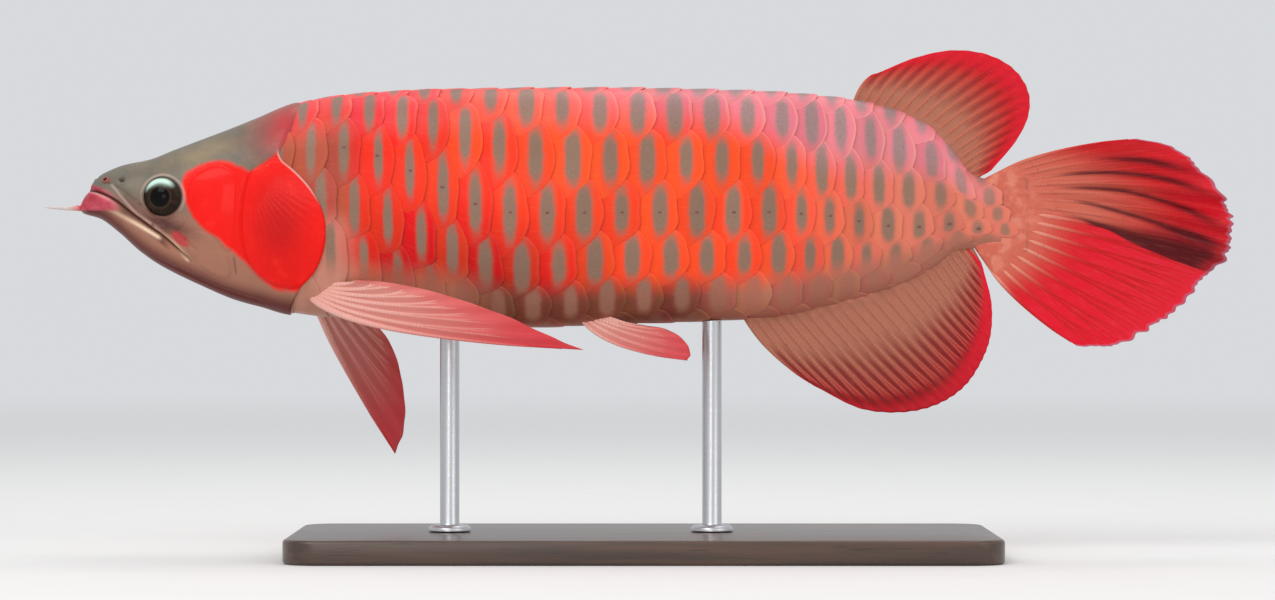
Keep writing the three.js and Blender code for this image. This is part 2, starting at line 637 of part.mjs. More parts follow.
// A rod with a round foot flange; its top is cut to the belly that it carries.
function standRod(s) {
  const foot = BASE.height + NODE_GAP - JAW_LEVEL_Z;
  const top = bellyAt(s) + ROD.intoBelly;
  const profile = [[0, foot], [ROD.flange, foot], [ROD.flange, foot + 1.6], [ROD.flange - 1, foot + 2.6],
    [ROD.radius, foot + 2.6], [ROD.radius, top], [0, top]];
  const geometry = new THREE.LatheGeometry(profile.map(([r, h]) => new THREE.Vector2(r, h)), 14);
  geometry.rotateX(Math.PI / 2);
  geometry.translate(s, 0, 0);
  return solidFromGeometry(geometry).subtract(trunkClear);
}

// Finished pieces
const finish = (color, roughness, metalness = 0) => new THREE.MeshStandardMaterial({ color, roughness, metalness });
const HEAD_GREY = finish(0x8d8377, 0.4);
const GILL_RED = finish(0xe21b12, 0.35);
const SCALE_ORANGE = finish(0xd9603c, 0.35);
const FIN_RED = finish(0xc8252c, 0.45);
const FIN_PINK = finish(0xe58a84, 0.45);
const EYE_BLACK = finish(0x15110f, 0.08);
const STAND_WOOD = finish(0x3a2a20, 0.5);
const STAND_STEEL = finish(0xb9bcc0, 0.3, 1);

// The gentle sweep of the tail to the far side, told as a shift across the fish.
function swept(s) {
  const share = Math.max(0, s - SWEEP_START) / (TOTAL_LENGTH - SWEEP_START);
  return TAIL_SWEEP * share * share;
}

const group = new THREE.Group();
group.name = 'asian_arowana';
const fish = new THREE.Group();
fish.position.set(JAW_TIP_X, 0, JAW_LEVEL_Z);
group.add(fish);

function addFishPart(name, solid, material) {
  const { vertProperties, triVerts } = largest(solid).getMesh();
  const positions = Float32Array.from(vertProperties);
  for (let i = 0; i < positions.length; i += 3) positions[i + 1] += swept(positions[i]);
  const geometry = new THREE.BufferGeometry();
  geometry.setAttribute('position', new THREE.BufferAttribute(positions, 3));
  geometry.setIndex(new THREE.BufferAttribute(Uint32Array.from(triVerts), 1));
  const mesh = new THREE.Mesh(geometry, material);
  mesh.name = name;
  fish.add(mesh);
}

const sideHalf = (solid, side) => solid.decompose()
  .filter((piece) => side * (piece.boundingBox().min[1] + piece.boundingBox().max[1]) > 0)
  .reduce((best, piece) => (piece.volume() > best.volume() ? piece : best));

addFishPart('head', head, HEAD_GREY);
addFishPart('lower_jaw', lowerJaw, HEAD_GREY);
for (const [name, side] of [['left', -1], ['right', 1]]) {
  addFishPart(`gill_cover_${name}`, sideHalf(gillPlates, side), GILL_RED);
  addFishPart(`eye_${name}`, eyeSolid(side, 0), EYE_BLACK);
  const barbel = feeler(BARBEL.map(([s, y, h]) => [s, side * y, h]), 1.15, 0.35, 6, 6);
  addFishPart(`barbel_${name}`, barbel.intersect(prism(BARBEL_OUTLINE)), HEAD_GREY);
}
addFishPart('torso_front', torsoFront, SCALE_ORANGE);
addFishPart('torso_rear', torsoRear, SCALE_ORANGE);
addFishPart('tail', tail, SCALE_ORANGE);
addFishPart('dorsal_fin', dorsalFin, FIN_RED);
addFishPart('anal_fin', analFin, FIN_RED);
addFishPart('caudal_fin', caudalFin, FIN_RED);
for (const [name, solid] of Object.entries(pairedFins)) {
  addFishPart(name, solid.subtract(trunkClear).subtract(headClear), FIN_PINK);
}
addFishPart('stand_rod_front', standRod(ROD.stations[0]), STAND_STEEL);
addFishPart('stand_rod_rear', standRod(ROD.stations[1]), STAND_STEEL);

const base = new THREE.Mesh(standBase(), STAND_WOOD);
base.name = 'stand_base';
group.add(base);

export default group;
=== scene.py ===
import math
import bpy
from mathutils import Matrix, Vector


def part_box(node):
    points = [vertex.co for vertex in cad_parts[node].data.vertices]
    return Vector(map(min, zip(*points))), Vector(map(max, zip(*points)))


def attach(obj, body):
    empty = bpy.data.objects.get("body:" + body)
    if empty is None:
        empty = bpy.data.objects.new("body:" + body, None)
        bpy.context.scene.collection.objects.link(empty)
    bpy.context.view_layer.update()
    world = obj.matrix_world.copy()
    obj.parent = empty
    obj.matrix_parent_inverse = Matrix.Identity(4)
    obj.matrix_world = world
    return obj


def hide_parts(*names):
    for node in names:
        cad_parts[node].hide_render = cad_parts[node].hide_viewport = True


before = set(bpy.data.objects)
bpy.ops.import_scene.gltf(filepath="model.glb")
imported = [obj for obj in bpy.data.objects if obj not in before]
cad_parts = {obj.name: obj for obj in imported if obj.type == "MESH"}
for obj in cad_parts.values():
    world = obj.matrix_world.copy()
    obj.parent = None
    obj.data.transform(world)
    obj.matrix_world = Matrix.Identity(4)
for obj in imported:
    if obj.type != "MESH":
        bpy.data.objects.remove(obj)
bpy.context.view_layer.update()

from types import SimpleNamespace

import bmesh
import bpy
import numpy as np
from mathutils import Vector

bl_info = {
    "name": "Asian Arowana Display Model",
    "version": (1, 0, 0),
    "blender": (4, 5, 0),
    "location": "View3D > Sidebar > Arowana",
    "description": "Skin, scales, fins, eyes and stand of a life-size asian arowana",
    "category": "Object",
}

# Places along the fish are in millimetres: s runs back from the tip of the lower jaw,
# h is the height over it, and y is across the fish
MM = 0.001
TOTAL_LENGTH = 480.0
JAW_TIP_X = -233.2
JAW_LEVEL_Z = 145.2
SWEEP_START = 240.0
TAIL_SWEEP = 12.0

# The body's form along s: heights of the back and belly, half width, the widest level's share
# of the height, and how full the section is over and under it
BACK = [(-4, -1), (0, -0.2), (1.7, 2.1), (4.1, 4.6), (5.4, 8.0), (8.3, 12), (12.4, 14.3), (18.6, 16.6),
        (29, 18.8), (39.3, 22.8), (60, 30.6), (80.7, 38.5), (103.4, 44.3), (124, 46.3), (153, 47.6),
        (215, 48.2), (277, 47), (310, 44.7), (331, 41), (349.7, 33.9), (360, 24.4), (369.5, 12.6),
        (377, 10.4), (386, 11.6), (393, 11.6)]
BELLY = [(-4, -1.8), (0, -2.4), (1.7, -3.6), (8.3, -5.6), (16.6, -11.6), (24.8, -19), (33.1, -24.8),
         (49.7, -33.1), (66.2, -39.9), (82.8, -43.7), (103, -46), (153, -50.1), (182, -50.6), (215, -49.4),
         (265, -47.6), (289.7, -45.9), (306, -42.6), (339.3, -33.1), (353.8, -25.7), (364, -18.8),
         (377, -17.6), (386, -19.6), (393, -19.6)]
HALF_WIDTH = [(-4, 1.2), (0, 3.8), (1.7, 6.2), (5, 8.8), (10, 10.8), (18, 12.8), (36, 15.8), (60, 19),
              (90, 21.6), (130, 22.6), (190, 22.6), (240, 21), (285, 17.6), (320, 13.2), (350, 8.6),
              (372, 5), (384, 2.4), (393, 0.4)]
WIDEST_SHARE = [(0, 0.5), (40, 0.54), (100, 0.58), (392, 0.56)]
BACK_FULLNESS = [(0, 2.1), (60, 2.35), (130, 2.6), (392, 2.3)]
BELLY_FULLNESS = [(0, 2.2), (50, 2.1), (120, 1.9), (392, 2.0)]

# Lines, outlines and places on the side of the head, as (s, h) points
MOUTH_LINE = [(-2, 6.2), (5.8, 6.0), (9.9, 5.0), (16.6, 1.7), (21.9, -2.9), (29, -8.1), (38.1, -14.5),
              (48.4, -24.4)]
GILL_LINE = [(93, 80), (90, 45), (85.5, 30), (83.2, 19.4), (90.5, 14), (97.5, 6.6), (102.2, -1.6),
             (103.8, -10.5), (102.6, -19.6), (98.5, -28.6), (91, -35.2), (86.5, -46), (84, -70)]
GILL_COVER = [(83.2, 19.4), (90.5, 14), (97.5, 6.6), (102.2, -1.6), (103.8, -10.5), (102.6, -19.6),
              (98.5, -28.6), (91, -35.2), (80.7, -32.7), (72.4, -27.2), (68.3, -14.5), (68.6, 0),
              (71.6, 13.7), (77, 16.2)]
CHEEK_PLATE = [(46, 8.5), (51, 13.5), (58, 16.2), (64, 14.4), (67.2, 10), (66.4, -4), (65.6, -17), (63, -21),
               (57, -12.5), (50.6, -8.6), (46.4, -2.5)]
LOWER_CHEEK = [(50, -9.6), (56.6, -13.4), (63.4, -22.4), (64.4, -31), (57, -29.6), (49.6, -24), (44, -14.5)]
RED_AREA = [(44.7, 2.9), (44.3, 8.3), (45.5, 12.4), (49.7, 15.3), (54.6, 17.4), (58.8, 18.2), (64.1, 17.0),
            (69.1, 14.5), (72.8, 12.8), (76.1, 14.5), (79.4, 17.4), (83.2, 21), (88, 18), (98, 8), (104, -2),
            (106, -12), (104.5, -22), (100, -30), (93, -35.5), (84.4, -35.2), (79.4, -32.7), (75.3, -29.4),
            (70.3, -24.4), (66.2, -20.7), (61.2, -15.3), (55.4, -11.2), (50.5, -7.9), (46.8, -2.9)]
UNDER_EYE = [(25.5, 2.6), (27.2, -3), (31, -7.4), (37, -8.8), (43, -7.4), (46, -4.4), (45.6, -7.6),
             (41.4, -11.8), (35, -12), (27.8, -6.8), (22.4, 0.2)]
JAW_STRIPE = [(11, -0.8), (18, -3.8), (24, -7.1), (30, -10.8), (36, -14.6)]
MAXILLA_STRIPE = [(33, -9.2), (40.2, -14.9), (47, -23.9)]
MAXILLA_TOP = [(14.6, 8), (18, 4), (24.8, -3.6), (31, -7.6)]
JAW_BAND = [(15, -1.5), (22, -7.4), (30, -13.6), (38, -18.9), (47, -25.6)]
GULAR_FOLDS = [[(30, -20.6), (45, -28.4), (60, -35.2), (78, -40.6)],
               [(40, -25.6), (52, -30.4), (66, -35.8), (84, -39.6)]]
GILL_HINGE = (71, 13)
NOSTRIL = (18.6, 10.2)
FRONT_NOSTRIL = (12.4, 9.6)
BLUSH_SPOT = (43.4, -14.2)

# Scale lattice: row lines from the back to the keel as (s, share of the way round), and the pitch along s
ROW_LINES = [
    [(106, 0.0), (392, 0.0)],
    [(106, 0.02), (145, 0.055), (178, 0.11), (225, 0.18), (273, 0.173), (319, 0.19), (332, 0.24),
     (354, 0.285), (392, 0.31)],
    [(106, 0.1), (145, 0.19), (160, 0.244), (174, 0.29), (190, 0.345), (221, 0.352), (283, 0.342),
     (296, 0.354), (319, 0.424), (330, 0.45), (354, 0.465), (392, 0.51)],
    [(106, 0.295), (123, 0.335), (150, 0.445), (164, 0.505), (180, 0.535), (224, 0.541), (283, 0.543),
     (309, 0.572), (332, 0.639), (359, 0.695), (392, 0.72)],
    [(106, 0.5), (129, 0.565), (152, 0.67), (166, 0.725), (180, 0.75), (195, 0.731), (230, 0.704),
     (288, 0.714), (313, 0.755), (340, 0.815), (392, 0.86)],
    [(106, 0.66), (122, 0.72), (145, 0.8), (178, 0.88), (200, 0.875), (236, 0.851), (273, 0.859),
     (320, 0.905), (342, 0.93), (392, 0.95)],
    [(106, 1.0), (392, 1.0)],
]
SCALE_PITCH = [(60, 13.8), (130, 13.6), (148, 12.9), (165, 14.0), (200, 15.3), (262, 15.2), (285, 13.8),
               (305, 12.0), (318, 11.8), (345, 13.0), (392, 10.5)]
SCALE_MARK = 232.1
SCALE_NUMBERS = range(-13, 15)
MID_ROW = 3
LAST_ROW = 6

# Fins: base, bend and margin lines, as (s, h) or (s, y, h) points
DORSAL = [
    [(320, 40), (334, 36), (350, 29.5), (361, 18), (368, 10)],
    [(323.6, 53.1), (345.5, 51.5), (367, 44.5), (375.5, 29.5), (372, 12.2)],
    [(330, 54.6), (346, 61.2), (362, 64.3), (377, 62.2), (387.5, 56), (393, 47), (393, 37.5), (388, 27),
     (377.5, 14.5)],
]
ANAL = [
    [(274, -44), (294, -41.5), (316, -36.5), (338, -29), (355, -20.5), (366, -14.5)],
    [(283, -61.5), (312, -64.5), (334.5, -60), (352.5, -49.8), (364, -36.5), (371, -20)],
    [(304, -75), (324, -84.6), (343, -85.7), (356.5, -82), (366.5, -75), (373.3, -65), (377, -55),
     (377.6, -41), (374, -26)],
]
CAUDAL = [
    [(370, 8.5), (371, -1), (369, -15.5)],
    [(398, 24.5), (408, 14), (414, -4), (404, -24), (386, -42)],
    [(438, 27.6), (456, 23.8), (469.5, 12.4), (478.4, 0), (480.2, -11), (478.6, -21.5), (468.5, -30.5),
     (457, -42.5), (444, -51.5), (429, -58.6), (413, -58.8)],
]
PECTORAL_LEFT = [
    [(96, -8, -37.5), (99, -9.5, -35.5), (102, -11, -33)],
    [(112, -33, -54), (124, -31, -44), (116, -20, -33)],
    [(209, -46, -59.4), (196, -45, -54), (180, -42, -46.6), (163, -38, -40.4), (146, -33, -35.4),
     (128, -27, -32), (115, -22, -31.2)],
]
PECTORAL_RIGHT = [
    [(96, 8, -37.5), (99, 9.5, -35.5), (102, 11, -33)],
    [(100, 31, -58), (110, 37, -50), (109, 26, -39)],
    [(127, 57, -105), (130, 62, -97), (131, 64, -87), (130, 62, -76), (128, 56, -65), (124, 47, -55),
     (117, 36, -47)],
]
PELVIC_LEFT = [
    [(207, -2.5, -46.5), (211, -3.2, -46), (215, -3.6, -45)],
    [(216, -13, -60), (228, -14, -54), (224, -10, -49)],
    [(251, -21, -64), (252.5, -20, -61.5), (250, -18, -56), (243, -15.5, -51.6), (232, -12.5, -49.6)],
]
# Folds of the tail fin as (out, t): four lines of painted shade along the valleys of its upper half, and the
# crease over its lower half.
TAIL_SHADED_FOLDS = [[(0.62, 0.112), (0.82, 0.143), (1.0, 0.20)],
                [(0.40, 0.190), (0.60, 0.193), (0.75, 0.208), (1.0, 0.275)],
                [(0.38, 0.282), (0.63, 0.289), (0.77, 0.320), (1.0, 0.400)],
                [(0.40, 0.358), (0.61, 0.403), (0.82, 0.443), (1.0, 0.462)]]
TAIL_CREASE = [(0.0, 0.50), (0.34, 0.478), (0.54, 0.505), (0.71, 0.550), (0.84, 0.567), (1.0, 0.575)]
PLEATS = 5
PLEAT_DEPTH = 2.4
CREASE_DEPTH = 7.0
LOBE_TURN = 13.0

BARBEL = [(0.6, 3.2, -1.3), (-3.5, 4.4, -1.5), (-8, 5.8, -1.4), (-13.6, 7.4, -1.1)]


# Settings shown in the panel
def colour(name, description, value):
    """A colour setting."""
    return bpy.props.FloatVectorProperty(name=name, description=description, subtype="COLOR", size=3,
                                         min=0.0, max=1.0, default=value)


def length(name, description, value):
    """A length setting in millimetres."""
    return bpy.props.FloatProperty(name=name, description=description, default=value, min=0.0, soft_max=100.0)


def ratio(name, description, value):
    """A setting that is a share of a scale's pitch."""
    return bpy.props.FloatProperty(name=name, description=description, default=value, min=0.05, max=3.0)


class ArowanaSkinSettings(bpy.types.PropertyGroup):
    """Sizes and colours of the head and skin."""
    scale_bed: length("Scale bed", "Depth of the skin under the body's scales, in millimetres", 1.25)
    gill_rise: length("Gill cover rise", "How far the gill covers stand proud, in millimetres", 1.5)
    crown: colour("Crown", "Olive grey of the head's top", (0.150, 0.138, 0.112))
    crown_warm: colour("Warm crown", "Warmer grey in the mottling of the head's top", (0.205, 0.165, 0.120))
    tan: colour("Tan", "Yellowish tan over the eye's rear", (0.34, 0.26, 0.16))
    flank: colour("Lower head", "Pinkish tan of the lower cheek", (0.37, 0.165, 0.108))
    # Painted shade: the dark brownish red of the head's underside, under the lower jaw
    throat: colour("Throat", "Brownish red under the lower jaw", (0.115, 0.016, 0.012))
    # Painted shade: dark mauve under the eye, with darker bands just under and over the mouth line
    dusk: colour("Dusk", "Dark mauve under the eye and along the upper jaw", (0.070, 0.022, 0.022))
    blush: colour("Blush", "Pink of the nape and of the spot behind the mouth", (0.50, 0.030, 0.042))
    tail: colour("Tail base", "Salmon of the tail's root", (0.58, 0.155, 0.105))
    gill_red: colour("Gill red", "Vivid red of the gill covers and cheeks", (0.86, 0.004, 0.001))
    lip: colour("Lip", "Pink of the lower lip", (0.46, 0.014, 0.045))
    # Pale jaw stripe: partly the bones' own colour, partly a painted highlight along the lower jaw's rim
    jaw: colour("Jaw", "Pale stripe of the jaw bones", (0.90, 0.64, 0.46))


class ArowanaScaleSettings(bpy.types.PropertyGroup):
    """Sizes and colours of the body scales."""
    rise: length("Rise", "How far a scale's rear edge stands over the next scale, in millimetres", 0.75)
    stagger: ratio("Stagger", "Shift from row to row, in scale lengths", 0.3)
    arc: ratio("Arc", "How far a rear edge curves forward, in scale lengths", 1.6)
    core: colour("Core", "Olive grey in the centre of a scale", (0.185, 0.140, 0.095))
    core_height: ratio("Core height", "Half the core's height, in row steps", 0.47)
    core_width: ratio("Core width", "Half the core's width, in scale lengths", 0.195)
    seed: bpy.props.IntProperty(name="Seed", description="Seed of the scales' small differences", default=7)


class ArowanaFinSettings(bpy.types.PropertyGroup):
    """Sizes and colours of the fins."""
    web: length("Web", "Thickness of the fin membranes, in millimetres", 0.55)
    ray: length("Ray", "Thickness of a fin ray at its root, in millimetres", 1.7)
    salmon: colour("Salmon", "Colour of the fins near the body", (0.58, 0.130, 0.085))
    red: colour("Red", "Vivid colour of the fins' outer parts", (0.56, 0.008, 0.012))
    olive: colour("Olive salmon", "Colour of the dorsal and anal fins near the body", (0.40, 0.150, 0.092))
    dark: colour("Dark red", "Colour of the webs between the rays", (0.16, 0.005, 0.007))
    crimson: colour("Crimson", "Colour of the tail fin's lower half and fins' edges", (0.68, 0.005, 0.022))
    pale: colour("Pale", "Colour of the paired fins near the body", (0.68, 0.28, 0.23))
    rim: colour("Rim", "Thin pale rim of the tail fin", (0.46, 0.20, 0.30))


class ArowanaEyeSettings(bpy.types.PropertyGroup):
    """Sizes and colours of the eyes."""
    pupil: length("Pupil", "Radius of the pupil, in millimetres", 4.2)
    iris: colour("Iris", "Brown-black of the iris", (0.010, 0.006, 0.004))
    # Painted highlight: a pale green-white arc over the top of the iris
    ring: colour("Ring", "Pale green-white arc over the iris", (0.60, 0.82, 0.72))


class ArowanaStandSettings(bpy.types.PropertyGroup):
    """Sizes and colours of the display stand."""
    bevel: length("Bevel", "Rounding of the board's edges, in millimetres", 1.5)
    light_wood: colour("Light grain", "Lighter colour of the stained wood", (0.105, 0.052, 0.030))
    dark_wood: colour("Dark grain", "Darker colour of the stained wood", (0.030, 0.015, 0.010))
    steel: colour("Steel", "Colour of the rods", (0.60, 0.61, 0.63))


class ArowanaStageSettings(bpy.types.PropertyGroup):
    """The floor, the light and the camera."""
    floor: colour("Floor", "Colour of the pale floor", (0.80, 0.80, 0.79))
    sky: colour("Sky", "Colour of the even sky", (0.95, 0.97, 1.0))
    sky_strength: bpy.props.FloatProperty(name="Sky strength", description="Brightness of the even sky",
                                          default=0.72, min=0.0)
    key_power: bpy.props.FloatProperty(name="Key light", description="Power of the main light, in watts",
                                       default=11.5, min=0.0)
    camera_distance: bpy.props.FloatProperty(name="Camera distance", description="Camera to fish",
                                             default=1.7, min=0.5, unit="LENGTH")


SETTINGS = {
    "arowana_skin": ArowanaSkinSettings,
    "arowana_scales": ArowanaScaleSettings,
    "arowana_fins": ArowanaFinSettings,
    "arowana_eyes": ArowanaEyeSettings,
    "arowana_stand": ArowanaStandSettings,
    "arowana_stage": ArowanaStageSettings,
}


# Curves and the body's form
def smooth_curve(points):
    """A smooth function through (x, value) points that doesn't overshoot them."""
    x = np.array([p[0] for p in points], float)
    y = np.array([p[1] for p in points], float)
    slopes = np.diff(y) / np.diff(x)
    before = np.concatenate([slopes[:1], slopes])
    after = np.concatenate([slopes, slopes[-1:]])
    total = np.where(before + after == 0, 1.0, before + after)
    tangents = np.where(before * after <= 0, 0.0, 2 * before * after / total)

    def value(at):
        at = np.clip(np.asarray(at, float), x[0], x[-1])
        i = np.clip(np.searchsorted(x, at, side="right") - 1, 0, len(x) - 2)
        width = x[i + 1] - x[i]
        t = (at - x[i]) / width
        rise = t * t * (3 - 2 * t)
        bend = tangents[i] * t * (1 - t) ** 2 - tangents[i + 1] * t * t * (1 - t)
        return y[i] + (y[i + 1] - y[i]) * rise + width * bend
    return value


back_at, belly_at, width_at = smooth_curve(BACK), smooth_curve(BELLY), smooth_curve(HALF_WIDTH)
widest_at = smooth_curve(WIDEST_SHARE)
back_fullness, belly_fullness = smooth_curve(BACK_FULLNESS), smooth_curve(BELLY_FULLNESS)
row_lines = [smooth_curve(line) for line in ROW_LINES]
pitch_at = smooth_curve(SCALE_PITCH)
tail_shaded_fold_lines = [smooth_curve(line) for line in TAIL_SHADED_FOLDS]
tail_crease_at = smooth_curve(TAIL_CREASE)


def smoothstep(low, high, value):
    """0 at low, 1 at high, smooth between; low may be the greater."""
    t = np.clip((value - low) / (high - low), 0.0, 1.0)
    return t * t * (3 - 2 * t)


def bump(value, width):
    """A rounded peak of height 1 about 0."""
    return np.exp(-(value / width) ** 2)


def window(value, begins, full, fades, ends):
    """0 up to begins and from ends, 1 from full to fades, smooth between."""
    return smoothstep(begins, full, value) * smoothstep(ends, fades, value)


def blend(first, second, share):
    """A share of the way from the first colour or number to the second."""
    return first * (1 - share) + second * share


def section_point(s, angle, lift):
    """Half width and height at an angle from the back (0) to the keel (pi), pushed out by lift."""
    top, bottom, width = back_at(s), belly_at(s), width_at(s)
    middle = bottom + (top - bottom) * widest_at(s)
    above = angle < math.pi / 2
    reach = np.where(above, top - middle, middle - bottom)
    power = np.where(above, back_fullness(s), belly_fullness(s))
    across = np.maximum(0, np.sin(angle)) ** (2 / power)
    along = np.abs(np.cos(angle)) ** (2 / power)
    normal_y = across ** (power - 1) / width
    normal_h = along ** (power - 1) / reach
    size = np.hypot(normal_y, normal_h)
    sign = np.where(above, 1.0, -1.0)
    y = width * across + lift * normal_y / size
    h = middle + sign * (reach * along + lift * normal_h / size)
    return y, h


def side_at(s, h):
    """Half the body's width at a height."""
    top, bottom = back_at(s), belly_at(s)
    middle = bottom + (top - bottom) * widest_at(s)
    above = h > middle
    reach = np.where(above, top - middle, middle - bottom)
    power = np.where(above, back_fullness(s), belly_fullness(s))
    share = np.clip(np.abs(h - middle) / reach, 0, 1)
    return width_at(s) * np.maximum(0, 1 - share ** power) ** (1 / power)


# The angle round the body for each whole millimetre of length and share of the way round
ARC_STEPS = 96
TABLE_LENGTH = np.arange(0, 396, 1.0)
TABLE_SHARE = np.linspace(0, 1, ARC_STEPS + 1)


def arc_table():
    """Angles that divide each section's half round evenly."""
    angles = np.linspace(0, math.pi, ARC_STEPS + 1)
    table = []
    for s in TABLE_LENGTH:
        y, h = section_point(np.full_like(angles, s), angles, 0.0)
        steps = np.hypot(np.diff(y), np.diff(h))
        reach = np.concatenate([[0], np.cumsum(steps)])
        table.append(np.interp(TABLE_SHARE * reach[-1], reach, angles))
    return np.array(table)


ANGLES = arc_table()


def angle_at(s, share):
    """The angle round the section at a share of the way from the back to the keel."""
    row = np.clip(s, 0, len(TABLE_LENGTH) - 1.001)
    column = np.minimum(np.clip(share, 0, 1) * ARC_STEPS, ARC_STEPS - 1e-6)
    r, c = row.astype(int), column.astype(int)
    near = blend(ANGLES[r, c], ANGLES[r, c + 1], column - c)
    far = blend(ANGLES[r + 1, c], ANGLES[r + 1, c + 1], column - c)
    return blend(near, far, row - r)


def placed(points):
    """(s, y, h) millimetres on the fish as metres in the frame, with the tail's sweep."""
    points = np.asarray(points, float)
    share = np.maximum(0, points[..., 0] - SWEEP_START) / (TOTAL_LENGTH - SWEEP_START)
    x = points[..., 0] + JAW_TIP_X
    y = points[..., 1] + TAIL_SWEEP * share * share
    z = points[..., 2] + JAW_LEVEL_Z
    return np.stack([x, y, z], -1) * MM


# Distances on the side of the head
def line_distance(s, h, line):
    """Distance to a line, positive on the left of its run, and the share of the way along it."""
    nearest = np.full(s.shape, 1e9)
    side = np.ones(s.shape)
    along = np.zeros(s.shape)
    points = np.array(line, float)
    steps = np.hypot(*np.diff(points, axis=0).T)
    reach = np.concatenate([[0], np.cumsum(steps)])
    for i in range(len(points) - 1):
        (ax, ay), (bx, by) = points[i], points[i + 1]
        dx, dy = bx - ax, by - ay
        t = np.clip(((s - ax) * dx + (h - ay) * dy) / (dx * dx + dy * dy), 0, 1)
        distance = np.hypot(s - ax - t * dx, h - ay - t * dy)
        nearer = distance < nearest
        nearest = np.where(nearer, distance, nearest)
        side = np.where(nearer, np.sign(dx * (h - ay) - dy * (s - ax)), side)
        along = np.where(nearer, (reach[i] + t * steps[i]) / reach[-1], along)
    return nearest * np.where(side == 0, 1.0, side), along


def rounded_line(line, turns=3):
    """The line with its corners cut round."""
    points = [np.array(p, float) for p in line]
    for _ in range(turns):
        cut = [points[0]]
        for a, b in zip(points[:-1], points[1:]):
            cut += [a * 0.75 + b * 0.25, a * 0.25 + b * 0.75]
        points = cut + [points[-1]]
    return [tuple(p) for p in points]


def rounded_outline(outline, turns=3):
    """The closed outline with its corners cut round."""
    points = [np.array(p, float) for p in outline]
    for _ in range(turns):
        cut = []
        for a, b in zip(points, points[1:] + points[:1]):
            cut += [a * 0.75 + b * 0.25, a * 0.25 + b * 0.75]
        points = cut
    return [tuple(p) for p in points]


def inside_depth(s, h, outline):
    """Distance to a closed outline, positive inside it."""
    closed = list(outline) + [outline[0]]
    distance, _ = line_distance(s, h, closed)
    inside = np.zeros(s.shape, bool)
    for (ax, ay), (bx, by) in zip(closed[:-1], closed[1:]):
        if ay == by:
            continue
        crosses = (ay > h) != (by > h)
        at = ax + (h - ay) * (bx - ax) / (by - ay)
        inside ^= crosses & (s < at)
    return np.where(inside, np.abs(distance), -np.abs(distance))


# Meshes
def add_mesh(name, points, faces, material, loop_maps=None, fields=None, smooth=True):
    """A mesh object at the origin from points in metres; fields are numbers or colours per point."""
    mesh = bpy.data.meshes.new(name)
    mesh.from_pydata(np.asarray(points).tolist(), [], faces if isinstance(faces, list) else faces.tolist())
    mesh.validate()
    for layer, values in (loop_maps or {}).items():
        uv = mesh.uv_layers.new(name=layer)
        uv.data.foreach_set("uv", np.asarray(values, np.float32).ravel())
    for field, values in (fields or {}).items():
        values = np.asarray(values, np.float32)
        if values.ndim == 1:
            mesh.attributes.new(field, "FLOAT", "POINT").data.foreach_set("value", values)
        else:
            alpha = np.ones((len(values), 1), np.float32)
            data = mesh.attributes.new(field, "FLOAT_COLOR", "POINT").data
            data.foreach_set("color", np.hstack([values, alpha]).ravel())
    if smooth:
        mesh.shade_smooth()
    mesh.materials.append(material)
    piece = bpy.data.objects.new(name, mesh)
    bpy.context.scene.collection.objects.link(piece)
    return piece


def turn_outwards(piece):
    """Makes the faces of a closed mesh point outwards."""
    work = bmesh.new()
    work.from_mesh(piece.data)
    bmesh.ops.recalc_face_normals(work, faces=work.faces)
    work.to_mesh(piece.data)
    work.free()


def ring_faces(rings, around, start=0, front_cap=True):
    """Quads between closed rings of points, and the end caps as polygons."""
    faces = []
    for r in range(rings - 1):
        for i in range(around):
            a = start + r * around + i
            b = start + r * around + (i + 1) % around
            faces.append((a, b, b + around, a + around))
    if front_cap:
        faces.append(tuple(start + i for i in reversed(range(around))))
    faces.append(tuple(start + (rings - 1) * around + i for i in range(around)))
    return faces


def slab_faces(rows, columns):
    """Faces of a slab between two grids: front, back and rim, each alike on both faces."""
    r, c = np.meshgrid(np.arange(rows - 1), np.arange(columns - 1), indexing="ij")
    a = (r * columns + c).ravel()
    front = np.stack([a, a + columns, a + columns + 1, a + 1], 1)
    shift = rows * columns
    back = front[:, ::-1] + shift
    top = np.arange(columns)
    right = np.arange(1, rows) * columns + columns - 1
    bottom = (rows - 1) * columns + np.arange(columns - 2, -1, -1)
    left = np.arange(rows - 2, 0, -1) * columns
    rim = np.concatenate([top, right, bottom, left])
    following = np.roll(rim, -1)
    edge = np.stack([rim, following, following + shift, rim + shift], 1)
    return front, back, edge


def catmull_rom(points, t):
    """Points of a centripetal spline through a few points, at shares t of its spans."""
    points = np.asarray(points, float)
    ends = np.vstack([2 * points[0] - points[1], points, 2 * points[-1] - points[-2]])
    spans = len(points) - 1
    at = np.clip(np.asarray(t, float), 0, 1) * spans
    i = np.minimum(at.astype(int), spans - 1)
    w = (at - i)[..., None]
    p0, p1, p2, p3 = ends[i], ends[i + 1], ends[i + 2], ends[i + 3]
    d0 = np.sqrt(np.linalg.norm(p1 - p0, axis=-1, keepdims=True))
    d1 = np.sqrt(np.linalg.norm(p2 - p1, axis=-1, keepdims=True))
    d2 = np.sqrt(np.linalg.norm(p3 - p2, axis=-1, keepdims=True))
    t1 = ((p1 - p0) / d0 - (p2 - p0) / (d0 + d1) + (p2 - p1) / d1) * d1
    t2 = ((p2 - p1) / d1 - (p3 - p1) / (d1 + d2) + (p3 - p2) / d2) * d1
    return (p1 + t1 * w + (-3 * p1 + 3 * p2 - 2 * t1 - t2) * w ** 2
            + (2 * p1 - 2 * p2 + t1 + t2) * w ** 3)


